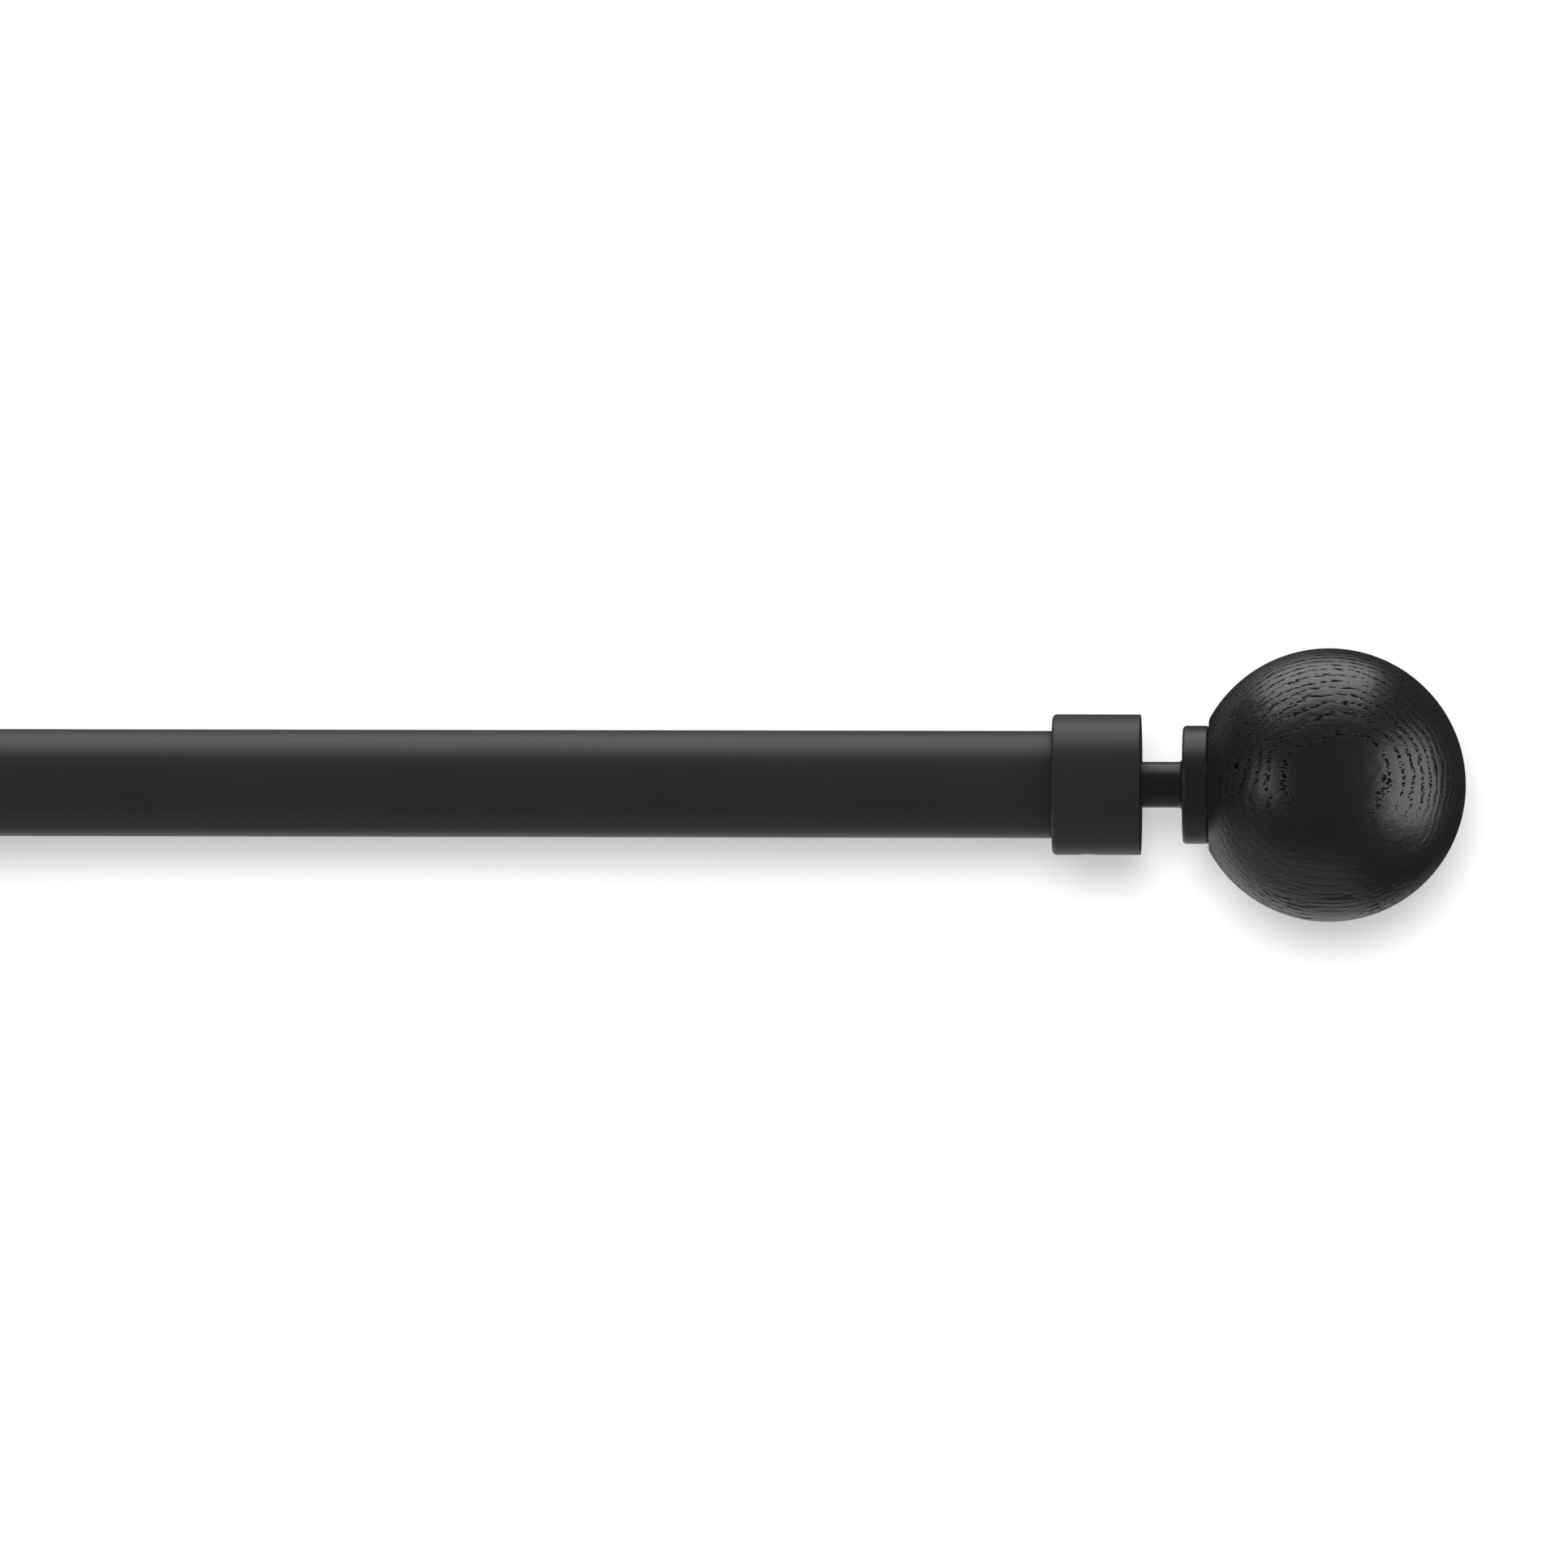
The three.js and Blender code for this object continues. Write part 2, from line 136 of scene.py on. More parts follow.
def finish_of(name, **fixed):
    """A new material: its tree, its shader with the fixed values set on it, and its object place."""
    material = bpy.data.materials.new(name)
    material.use_nodes = True
    tree = material.node_tree
    tree.nodes.clear()
    shader = wire(tree, "ShaderNodeBsdfPrincipled", {"IOR": 1.5, **fixed})
    wire(tree, "ShaderNodeOutputMaterial", {"Surface": shader.outputs[0]})
    place = wire(tree, "ShaderNodeTexCoord").outputs["Object"]
    return material, tree, shader, place


def effect(tree, node_tree, **inputs):
    """Places a shader group in a material, and returns what it gives out."""
    return wire(tree, "ShaderNodeGroup", inputs, node_tree=node_tree).outputs


def raised(tree, shader, height):
    """Makes a surface rise by a height in millimetres."""
    bump = wire(tree, "ShaderNodeBump", {"Strength": 1.0, "Distance": mm, "Height": height})
    tree.links.new(bump.outputs["Normal"], shader.inputs["Normal"])


def shades(colour, dark, light):
    """A darker and a lighter shade of one colour."""
    return [c * dark for c in colour], [c * light for c in colour]


dust_colour, edge_polish = (0.16, 0.155, 0.15), 0.12


def coat_black(name, colour, worn, sheen_low, sheen_high):
    """A powder or paint coat with its texture, rubbed edges and a little dust."""
    material, tree, shader, place = finish_of(name, IOR=1.42)
    texture = effect(tree, powder, Vector=place)
    edges = effect(tree, rubbed, Vector=place, Amount=0.35)["Mask"]
    settled = effect(tree, dust, Vector=place, Amount=0.015)["Mask"]
    base = blend(tree, edges, blend(tree, texture["Patch"], *shades(colour, 0.9, 1.1)), worn)
    tree.links.new(blend(tree, settled, base, dust_colour), shader.inputs["Base Color"])
    sheen = fade(tree, texture["Patch"], 0.2, 0.8, sheen_low, sheen_high)
    sheen = figure(tree, "SUBTRACT", sheen, product(tree, edges, edge_polish))
    tree.links.new(sheen, shader.inputs["Roughness"])
    raised(tree, shader, texture["Height"])
    return material


black_coat = coat_black("satin_black_coat", (0.0146, 0.0136, 0.0140), (0.055, 0.052, 0.052), 0.42, 0.46)


def shown(name, data):
    """A new object in the scene, at the origin."""
    made = bpy.data.objects.new(name, data)
    bpy.context.scene.collection.objects.link(made)
    return made


def plain_mesh(made, *extras):
    """The mesh an object's modifiers make of it, after which it and any others are removed."""
    mesh = bpy.data.meshes.new_from_object(made.evaluated_get(bpy.context.evaluated_depsgraph_get()))
    for spent in (made, *extras):
        bpy.data.objects.remove(spent)
    return mesh


def grow(tree, geometry, **inputs):
    """Runs a geometry tree on a mesh with its inputs set, and returns the plain mesh it makes."""
    holder = shown("holder", geometry)
    modifier = holder.modifiers.new("grow", "NODES")
    modifier.node_group = tree
    known = {item.name: item.identifier for item in tree.interface.items_tree}
    for label, value in inputs.items():
        modifier[known[label]] = value
    return plain_mesh(holder)


def geometry_tree(name, inputs):
    """A geometry tree with a mesh coming in, named inputs, and a mesh going out."""
    tree = bpy.data.node_groups.new(name, "GeometryNodeTree")
    tree.interface.new_socket("Geometry", in_out="INPUT", socket_type="NodeSocketGeometry")
    for label, kind in inputs:
        tree.interface.new_socket(label, in_out="INPUT", socket_type=kind)
    tree.interface.new_socket("Material", in_out="INPUT", socket_type="NodeSocketMaterial")
    tree.interface.new_socket("Geometry", in_out="OUTPUT", socket_type="NodeSocketGeometry")
    return tree, tree.nodes.new("NodeGroupInput").outputs


def close_tree(tree, take, result):
    """Ends a geometry tree in realised instances and one material."""
    real = wire(tree, "GeometryNodeRealizeInstances", {"Geometry": result})
    painted = wire(tree, "GeometryNodeSetMaterial",
                   {"Geometry": real.outputs[0], "Material": take["Material"]})
    wire(tree, "NodeGroupOutput", {"Geometry": painted.outputs[0]})


# Turning: a profile swept round an axis. The sweep starts from a small circle, so profile points
# stand at their radius less that circle's.
hub = 1 * mm
WHOLE = "NodeSocketInt"
turning, take = geometry_tree("turned_piece", [("Segments", WHOLE)])
circle = wire(turning, "GeometryNodeCurvePrimitiveCircle", {"Resolution": take["Segments"], "Radius": hub})
upright = wire(turning, "GeometryNodeSetCurveNormal", {"Curve": circle.outputs[0]}, mode="Z_UP")
line = wire(turning, "GeometryNodeMeshToCurve", {"Mesh": take["Geometry"]})
swept = wire(turning, "GeometryNodeCurveToMesh",
             {"Curve": upright.outputs[0], "Profile Curve": line.outputs[0]})
welded = wire(turning, "GeometryNodeMergeByDistance", {"Geometry": swept.outputs[0], "Distance": 1e-6})
outside = wire(turning, "GeometryNodeFlipFaces", {"Mesh": welded.outputs[0]})
close_tree(turning, take, outside.outputs[0])


def filleted(corners, steps=5):
    """Rounds a profile's corners, given as (along, radius, fillet) in millimetres.
    A fillet above 0 is an outer edge, which can wear; one below 0 is an inner corner, which can't."""
    points = []
    for i, (along, radius, fillet) in enumerate(corners):
        here = np.array((along, radius), float)
        if not fillet:
            points.append((along, radius, 0.0))
            continue
        before = np.array(corners[i - 1][:2], float) - here
        after = np.array(corners[(i + 1) % len(corners)][:2], float) - here
        before, after = before / np.linalg.norm(before), after / np.linalg.norm(after)
        half = math.acos(float(np.clip(before @ after, -1, 1))) / 2
        size = abs(fillet)
        middle = (before + after) / np.linalg.norm(before + after) * size / math.sin(half)
        spoke = before * size / math.tan(half) - middle
        last = after * size / math.tan(half) - middle
        turn = math.atan2(spoke[0] * last[1] - spoke[1] * last[0], float(spoke @ last))
        for k in range(steps + 1):
            c, s = math.cos(turn * k / steps), math.sin(turn * k / steps)
            point = here + middle + np.array((c * spoke[0] - s * spoke[1], s * spoke[0] + c * spoke[1]))
            points.append((*point, math.sin(math.pi * k / steps) if fillet > 0 else 0.0))
    return points


def facing_along(axis, start):
    """The matrix that stands a piece made along +Z at a place, pointing along an axis."""
    return Matrix.Translation(start) @ Vector(axis).to_track_quat("Z", "Y").to_matrix().to_4x4()


def smooth(mesh, angle=32):
    """Smooth shading with sharp edges kept, and every face looking outwards."""
    shell = bmesh.new()
    shell.from_mesh(mesh)
    bmesh.ops.recalc_face_normals(shell, faces=shell.faces)
    shell.to_mesh(mesh)
    shell.free()
    mesh.polygons.foreach_set("use_smooth", [True] * len(mesh.polygons))
    mesh.set_sharp_from_angle(angle=math.radians(angle))
    return mesh


def turned(points, material, segments=160, closed=True):
    """A round mesh about +Z from (along, radius, wear) points in millimetres, closed or from axis to axis."""
    profile = bpy.data.meshes.new("profile")
    count = len(points)
    edges = [(i, i + 1) for i in range(count - 1)] + ([(count - 1, 0)] if closed else [])
    profile.from_pydata([(radius * mm - hub, -along * mm, 0) for along, radius, _ in points], edges, [])
    wear = profile.attributes.new("wear", "FLOAT", "POINT")
    wear.data.foreach_set("value", [w for _, _, w in points])
    return grow(turning, profile, Segments=segments, Material=material)


def laid(mesh, axis, start):
    """Moves a mesh made about +Z to its place in the object."""
    mesh.transform(facing_along(axis, start))
    return mesh


def place(mesh, axis, start):
    """Moves a mesh to its place and finishes its surface."""
    return smooth(laid(mesh, axis, start))


def piece(name, mesh, body, slot, *nodes):
    """Shows a finished mesh as a piece that rides on a body and stands for its CAD nodes."""
    made = shown(name, mesh)
    mesh.name = name
    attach(made, body)
    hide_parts(*nodes)


def size_of(node):
    """A node's lowest and highest corners, and half its height, which is a round piece's radius."""
    low, high = (Vector(c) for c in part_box(node))
    return low, high, (high.z - low.z) / 2


tube_low, tube_high, rod_radius = size_of("outer_tube")
rod_y = (tube_low.y + tube_high.y) / 2
rod_radius /= mm
tube_wall = 1.0
tube_length = (tube_high.x - tube_low.x) / mm
curl_depth, curl_length = 0.4, 2.6
right_way, left_way = Vector((1, 0, 0)), Vector((-1, 0, 0))


def on_axis(x):
    """A point on the rod's axis."""
    return Vector((x, rod_y, 0))


outer_profile = filleted([
    (0, rod_radius - tube_wall - curl_depth, 0.25),
    (0, rod_radius - curl_depth, 0.45),
    (curl_length, rod_radius, -2.5),
    (tube_length, rod_radius, 0.3),
    (tube_length, rod_radius - tube_wall, 0.2),
    (curl_length, rod_radius - tube_wall, -2.0),
])
piece("tube_outer", place(turned(outer_profile, black_coat, 192), right_way, on_axis(tube_low.x)),
      "outer_rod", "black_coat", "outer_tube")

# ----------------------------------------
# Inner tube and guide plug
# The thinner tube slides in the outer one. A moulded plug with a thin flange keeps its hidden end
# in the middle of the outer tube.
# ----------------------------------------
thin_low, thin_high, thin_radius = size_of("inner_tube")
thin_radius /= mm
thin_wall = 0.9
thin_length = (thin_high.x - thin_low.x) / mm
inner_profile = filleted([
    (0, thin_radius - thin_wall, 0.2),
    (0, thin_radius, 0.3),
    (thin_length, thin_radius, 0.3),
    (thin_length, thin_radius - thin_wall, 0.2),
])
piece("tube_inner", place(turned(inner_profile, black_coat, 176), right_way, on_axis(thin_low.x)),
      "inner_rod", "black_coat", "inner_tube")


def moulded(name, colour, sheen, relief, fineness):
    """Moulded plastic or rubber: a fine, even surface grain and slow changes in sheen."""
    material, tree, shader, where = finish_of(name)
    cloud = speckle(tree, where, 90.0, 2.0)
    edges = effect(tree, rubbed, Vector=where, Amount=0.4)["Mask"]
    base = blend(tree, cloud, *shades(colour, 0.8, 1.2))
    tree.links.new(blend(tree, edges, base, [c * 2.2 for c in colour]), shader.inputs["Base Color"])
    tree.links.new(fade(tree, cloud, 0.2, 0.8, sheen - 0.05, sheen + 0.05), shader.inputs["Roughness"])
    raised(tree, shader, product(tree, speckle(tree, where, fineness, 3.0), relief))
    return material


dark_plastic = moulded("moulded_black_plastic", (0.03, 0.03, 0.032), 0.5, 0.012, 2600.0)
plug_low, _, plug_radius = size_of("inner_tube_guide_plug")
plug_radius /= mm
plug_stem, plug_flange, plug_bore = 14.0, 3.0, 7.5
stem_radius = thin_radius - thin_wall - 0.15
plug_profile = filleted([
    (0, plug_bore, 0.3),
    (0, stem_radius, 0.8),
    (plug_stem, stem_radius, -0.15),
    (plug_stem, plug_radius, 0.4),
    (plug_stem + plug_flange, plug_radius, 0.6),
    (plug_stem + plug_flange, plug_bore, 0.4),
])
piece("guide_plug", place(turned(plug_profile, dark_plastic, 96), right_way, on_axis(plug_low.x)),
      "inner_rod", "guide_plastic", "inner_tube_guide_plug")

# ----------------------------------------
# End caps, their grub screws and the reducing sleeve
# Each cap is turned from bar, bored to slip over the tube and coated like the tube: its rim is rounded and
# its end face is flat with a crisp edge. A grub screw underneath locks it. The left cap has a plastic
# sleeve in its bore, because the tube there is the thinner one.
# ----------------------------------------


def cut_away(mesh, *cutters):
    """Cuts closed meshes out of a mesh."""
    return carve(mesh, "DIFFERENCE", cutters)


def carve(mesh, operation, others):
    """Cuts or joins closed meshes, then welds what the cuts leave open."""
    base = shown("base", mesh)
    tools = [shown("tool", other) for other in others]
    for tool in tools:
        step = base.modifiers.new("carve", "BOOLEAN")
        step.operation, step.object, step.solver = operation, tool, "EXACT"
    result = plain_mesh(base, *tools)
    result.materials.clear()
    result.materials.append(mesh.materials[0])
    result.polygons.foreach_set("material_index", [0] * len(result.polygons))
    shell = bmesh.new()
    shell.from_mesh(result)
    bmesh.ops.remove_doubles(shell, verts=shell.verts, dist=2e-6)
    bmesh.ops.dissolve_degenerate(shell, edges=shell.edges, dist=2e-6)
    bmesh.ops.holes_fill(shell, edges=[e for e in shell.edges if e.is_boundary])
    shell.to_mesh(result)
    shell.free()
    return result


def pin(first, last, radius, material=black_coat, sides=48):
    """A plain round bar along +Z, for drilling with or for building up."""
    outline = [(first, 0, 0), (first, radius, 0), (last, radius, 0), (last, 0, 0)]
    return turned(outline, material, sides, closed=False)


def plain_steel(name, colour, sheen_low, sheen_high):
    """Plated or blackened steel: a fine machined grain, cloudy plating and brighter rubbed edges."""
    material, tree, shader, where = finish_of(name, Metallic=1.0)
    cloud = speckle(tree, where, 260.0, 3.0)
    edges = effect(tree, rubbed, Vector=where, Amount=0.8)["Mask"]
    base = blend(tree, cloud, *shades(colour, 0.78, 1.0))
    tree.links.new(blend(tree, edges, base, (0.78, 0.78, 0.77)), shader.inputs["Base Color"])
    tree.links.new(fade(tree, cloud, 0.25, 0.75, sheen_low, sheen_high), shader.inputs["Roughness"])
    raised(tree, shader, product(tree, speckle(tree, where, 1800.0, 4.0, 0.7), 0.02))
    return material


zinc = plain_steel("zinc_plated_steel", (0.52, 0.52, 0.53), 0.28, 0.42)
black_screw = plain_steel("blackened_steel", (0.09, 0.088, 0.088), 0.34, 0.46)

thread_fit = 0.15
cap_length, cap_wall, cap_bore = 20.9, 3.4, rod_radius + thread_fit
cap_socket = cap_length - cap_wall
grub_setback, grub_radius, grub_pitch = 8.5, 2.0, 0.7
grub_key, grub_key_depth = 1.15, 1.6
bolt_clearance = 3.15
down = (0, 0, -1)


def end_cap(side, body, way):
    low, high, radius = size_of(f"{side}_cap")
    radius /= mm
    rim = on_axis(low.x if way.x > 0 else high.x)
    profile = filleted([
        (0, cap_bore, 0.35),
        (0, radius, 1.0),
        (cap_length, radius, 0.22),
        (cap_length, bolt_clearance, 0.2),
        (cap_socket, bolt_clearance, 0),
        (cap_socket, cap_bore, -0.4),
    ], 7)
    cap = laid(turned(profile, black_coat, 224), way, rim)
    grub_at = on_axis(rim.x + way.x * grub_setback * mm)
    drill = laid(pin(0, 20, grub_radius + thread_fit), down, grub_at)
    piece(f"cap_{side}", smooth(cut_away(cap, drill)), body, "black_coat", f"{side}_cap")

    # Grub screw: fine thread ridges, a hexagon socket, and a flat end that bears on the tube
    grub_low, grub_high, _ = size_of(f"{side}_cap_grub_screw")
    inner, outer = -grub_high.z / mm, -grub_low.z / mm
    ridges = [(inner, 0, 0), (inner, grub_radius - 0.4, 0)]
    for k in range(int((outer - inner - 0.5) / grub_pitch)):
        foot = inner + 0.25 + k * grub_pitch
        ridges += [(foot, grub_radius - 0.35, 0), (foot + grub_pitch / 2, grub_radius, 1)]
    ridges += [(outer - 0.2, grub_radius - 0.3, 1), (outer, grub_radius - 0.5, 1), (outer, 0, 0)]
    grub = cut_away(turned(ridges, black_screw, 48, closed=False),
                    pin(outer - grub_key_depth, outer + 1, grub_key, black_screw, 6))
    piece(f"grub_screw_{side}", place(grub, down, grub_at), body, "screw_steel", f"{side}_cap_grub_screw")


end_cap("right", "right_end_cap", right_way)
end_cap("left", "left_end_cap", left_way)

sleeve_low, sleeve_high, sleeve_radius = size_of("left_reducing_sleeve")
sleeve_radius /= mm
sleeve_length = (sleeve_high.x - sleeve_low.x) / mm
sleeve_bore = thin_radius + thread_fit
sleeve = turned(filleted([
    (0, sleeve_bore, 0.3),
    (0, sleeve_radius, 0.4),
    (sleeve_length, sleeve_radius, 0.4),
    (sleeve_length, sleeve_bore, 0.3),
]), dark_plastic, 128)
left_grub_at = on_axis(size_of("left_cap")[1].x - grub_setback * mm)
sleeve = cut_away(laid(sleeve, left_way, on_axis(sleeve_high.x)),
                  laid(pin(0, 20, grub_radius + 0.3, dark_plastic), down, left_grub_at))
piece("reducing_sleeve", smooth(sleeve), "left_end_cap", "guide_plastic", "left_reducing_sleeve")

# ----------------------------------------
# Finial necks
# Neck and disc are turned from one bar: a thin straight neck, a small fillet, and a disc with eased
# edges that the ball sits against. Coated like the caps, but darker and a little glossier: the darker colour
# is painted shade for the groove between cap and ball.
# ----------------------------------------
# Painted shade: this coat is darker than the caps' to stand in for the shade in the groove between cap and
# ball
neck_coat_painted_shade = coat_black("satin_black_neck_painted_shade", (0.0112, 0.0104, 0.0108), (0.05, 0.048, 0.048), 0.36, 0.4)
neck_radius, neck_length, neck_fillet = 5.425, 10.0, 1.2
disc_radius, disc_length = 14.0, 6.2


def finial_neck(side, body, way):
    low, high, _ = size_of(f"{side}_finial_neck")
    foot = on_axis(low.x if way.x > 0 else high.x)
    profile = filleted([
        (0, bolt_clearance, 0.2),
        (0, neck_radius, 0.25),
        (neck_length, neck_radius, -neck_fillet),
        (neck_length, disc_radius, 0.9),
        (neck_length + disc_length, disc_radius, 0.8),
        (neck_length + disc_length, bolt_clearance, 0.2),
    ], 8)
    neck = place(turned(profile, neck_coat_painted_shade, 192), way, foot)
    piece(f"neck_{side}", neck, body, "black_coat", f"{side}_finial_neck")


finial_neck("right", "right_finial", right_way)
finial_neck("left", "left_finial", left_way)

# ----------------------------------------
# Wood balls
# Turned from ring-porous wood with the grain along the rod, flattened and drilled where the disc sits,
# stained near black and left satin. The stain doesn't fill the pores: they show as short dark dashes
# along the grain and as dots where the surface cuts across it, in bands that follow the growth rings.
# Their darkness, in colour and in a dark metal reflection, is partly painted shade for their hollows.
# ----------------------------------------
grain, take, give = group(
    "open_grain",
    [("Vector", VECTOR), ("Ring Spacing", FLOAT), ("First Ring", FLOAT)],
    [("Pores", FLOAT), ("Late Wood", FLOAT), ("Fibres", FLOAT), ("Streaks", FLOAT), ("Stain", FLOAT)])
where = take["Vector"]


def stretched(tree, vector, x, y, z):
    """A place scaled differently along each axis."""
    return wire(tree, "ShaderNodeVectorMath", {0: vector, 1: (x, y, z)}, operation="MULTIPLY").outputs[0]


def shifted(tree, first, second, operation="ADD"):
    """Two places added, or the second taken away."""
    return wire(tree, "ShaderNodeVectorMath", {0: first, 1: second}, operation=operation).outputs[0]


split = wire(grain, "ShaderNodeSeparateXYZ", {0: where}).outputs
# Rings lie across the front of the ball, tilted a little and bent by slow noise
ring_tilt, bend_depth, ripple_depth = 0.049, 0.9, 0.25
bend = speckle(grain, stretched(grain, where, 0.045, 0.09, 0.09), 1.0, 2.0)
ripple = speckle(grain, stretched(grain, where, 0.22, 0.5, 0.5), 1.0, 2.0)
depth = figure(grain, "MULTIPLY_ADD", split["X"], ring_tilt, figure(grain, "MULTIPLY", split["Y"], -1.0))
depth = figure(grain, "ADD", depth, fade(grain, bend, 0.2, 0.8, -bend_depth, bend_depth))
depth = figure(grain, "ADD", depth, fade(grain, ripple, 0.2, 0.8, -ripple_depth, ripple_depth))
rings = figure(grain, "DIVIDE", figure(grain, "SUBTRACT", take["First Ring"], depth), take["Ring Spacing"])
phase = figure(grain, "FRACT", rings)

# Vessels crowd into each ring's early wood, and thin out low on the ball and at its very front
early = product(grain, fade(grain, phase, 0.2, 0.55, 1.0, 0.0), fade(grain, phase, 0.0, 0.05),
                fade(grain, depth, 31.2, 31.7, 1.0, 0.0), fade(grain, split["Z"], -13.0, 1.0, 0.2, 1.0))
sway = wire(grain, "ShaderNodeTexNoise",
            {"Vector": stretched(grain, where, 0.3, 0.5, 0.5), "Scale": 1.0, "Detail": 1.0}).outputs["Color"]
sway = stretched(grain, shifted(grain, sway, (0.5, 0.5, 0.5), "SUBTRACT"), 0.5, 1.4, 1.4)
vessels = shifted(grain, stretched(grain, where, 0.46, 2.05, 2.05), sway)
cell = wire(grain, "ShaderNodeTexVoronoi", {"Vector": vessels, "Scale": 1.0}).outputs["Distance"]
thinnest, thickest, pore_edge = 0.06, 0.56, 0.13
girth = fade(grain, early, 0.0, 1.0, thinnest, thickest)
pores = fade(grain, cell, figure(grain, "SUBTRACT", girth, pore_edge), girth, 1.0, 0.0)

# Long streaks, with the deepest low on the ball, where the surface runs along the grain
streaks = speckle(grain, stretched(grain, where, 0.06, 0.95, 0.95), 1.0, 1.0)
coarse = fade(grain, split["Z"], -26.0, -10.0, 1.0, 0.2)
grooves = product(grain, fade(grain, streaks, 0.34, 0.44, 1.0, 0.0),
                  fade(grain, split["Z"], -29.0, -19.0, 0.6, 0.0))
for label, value in (
        ("Pores", figure(grain, "MAXIMUM", pores, grooves)),
        ("Late Wood", fade(grain, phase, 0.25, 0.9)),
        ("Fibres", speckle(grain, stretched(grain, where, 0.14, 4.2, 4.2), 1.0, 3.0, 0.6)),
        ("Streaks", product(grain, streaks, coarse)),
        ("Stain", speckle(grain, stretched(grain, where, 0.05, 0.12, 0.12), 1.0, 2.0))):
    grain.links.new(value, give[label])

ring_spacing = 1.85
stain_dark, stain_light = (0.0084, 0.0068, 0.0072), (0.0118, 0.0100, 0.0104)
# Pores are darker than the stain, partly their own colour and partly painted shade for their hollows; the pit
# is painted near black, as painted shade in the dent
pore_colour_and_shade, pit_painted_shade = (0.004, 0.0034, 0.0036), (0.0006, 0.0005, 0.0005)
pore_dullness, pore_shade_metal = 0.62, 0.75
pore_depth, late_rise, fibre_rise, streak_rise = -0.2, 0.08, 0.035, 0.26


def stained_wood(name, middle, first_ring, turn, pit=None):
    """Stained wood for one ball, its grain placed about the ball's middle."""
    material, tree, shader, place_in = finish_of(name, IOR=1.6)
    scaled = stretched(tree, shifted(tree, place_in, tuple(-c for c in middle)), 1000, 1000, 1000)
    spun = wire(tree, "ShaderNodeVectorRotate", {"Vector": scaled, "Angle": math.radians(turn)},
                rotation_type="X_AXIS").outputs[0]
    wood = effect(tree, grain, **{"Vector": spun, "Ring Spacing": ring_spacing, "First Ring": first_ring})
    holes = wood["Pores"]
    # Pores blended to a darker colour: partly painted shade in their hollows
    stain = blend(tree, holes, blend(tree, wood["Stain"], stain_dark, stain_light), pore_colour_and_shade)
    if pit:
        off = stretched(tree, shifted(tree, scaled, tuple(-c for c in pit)), 1.5, 1.0, 0.75)
        far = wire(tree, "ShaderNodeVectorMath", {0: off}, operation="LENGTH").outputs["Value"]
        gouge = fade(tree, far, 0.5, 0.85, 1.0, 0.0)
        holes = figure(tree, "MAXIMUM", holes, gouge)
        # The pit painted near black: painted shade in the dent
        stain = blend(tree, gouge, stain, pit_painted_shade)
    tree.links.new(stain, shader.inputs["Base Color"])
    sheen = fade(tree, wood["Fibres"], 0.25, 0.75, 0.24, 0.32)
    sheen = figure(tree, "ADD", sheen, product(tree, holes, pore_dullness))
    tree.links.new(sheen, shader.inputs["Roughness"])
    # Painted shade: an open pore swallows the light, so the pores and the pit are made partly a black metal,
    # which sends back less of it than any stain does
    tree.links.new(product(tree, holes, pore_shade_metal), shader.inputs["Metallic"])
    relief = product(tree, holes, pore_depth)
    for label, rise in (("Late Wood", late_rise), ("Fibres", fibre_rise), ("Streaks", streak_rise)):
        relief = figure(tree, "MULTIPLY_ADD", wood[label], rise, relief)
    raised(tree, shader, relief)
    return material


ball_radius, flat_offset, eased_edge, ball_hole, hole_radius = 32.4, 28.4, 1.2, 20.0, 3.15


def wood_ball(side, body, way, first_ring, turn, pit=None):
    low, high, _ = size_of(f"{side}_finial_ball")
    middle = on_axis((high.x if way.x > 0 else low.x) - way.x * ball_radius * mm)
    wood = stained_wood(f"stained_wood_{side}", middle, first_ring, turn, pit)
    rings = 150
    flat_radius = ball_radius * math.sin(math.acos(-flat_offset / ball_radius))
    first = math.acos((eased_edge - flat_offset) / ball_radius)
    edge = filleted([(-flat_offset, hole_radius, 0), (-flat_offset, flat_radius, 0.35),
                     (eased_edge - flat_offset, ball_radius * math.sin(first), 0)])
    profile = [(ball_hole - flat_offset, 0, 0), (ball_hole - flat_offset, hole_radius, 0), *edge]
    for k in range(1, rings + 1):
        lean = first * (1 - k / rings)
        profile.append((ball_radius * math.cos(lean), ball_radius * math.sin(lean), 0))
    ball = turned(profile, wood, 256, closed=False)
    piece(f"ball_{side}", place(ball, way, middle), body, "stained_wood", f"{side}_finial_ball")


wood_ball("right", "right_finial", right_way, 30.35, 0, pit=(-21.4, -23.9, 4.4))
wood_ball("left", "left_finial", left_way, 31.1, 38)

# ----------------------------------------
# Finial bolts
# Hanger bolts: a machine thread that screws into the cap's end wall, and a pointed end with the same
# thread that is driven into the ball.
# ----------------------------------------
threading, take = geometry_tree("thread", [("Radius", FLOAT), ("Pitch", FLOAT), ("From", FLOAT),
                                           ("Length", FLOAT), ("Steps", WHOLE)])
turns = figure(threading, "DIVIDE", take["Length"], take["Pitch"])
ridge_radius = figure(threading, "MULTIPLY", take["Pitch"], 0.36)
course = figure(threading, "SUBTRACT", take["Radius"], ridge_radius)
spiral = wire(threading, "GeometryNodeCurveSpiral",
              {"Resolution": take["Steps"], "Rotations": turns, "Start Radius": course,
               "End Radius": course, "Height": take["Length"], "Reverse": True})
spiral_up = wire(threading, "GeometryNodeSetCurveNormal", {"Curve": spiral.outputs[0]}, mode="Z_UP")
tooth = wire(threading, "GeometryNodeCurvePrimitiveCircle", {"Resolution": 4, "Radius": ridge_radius})
ridge = wire(threading, "GeometryNodeCurveToMesh",
             {"Curve": spiral_up.outputs[0], "Profile Curve": tooth.outputs[0], "Fill Caps": True})
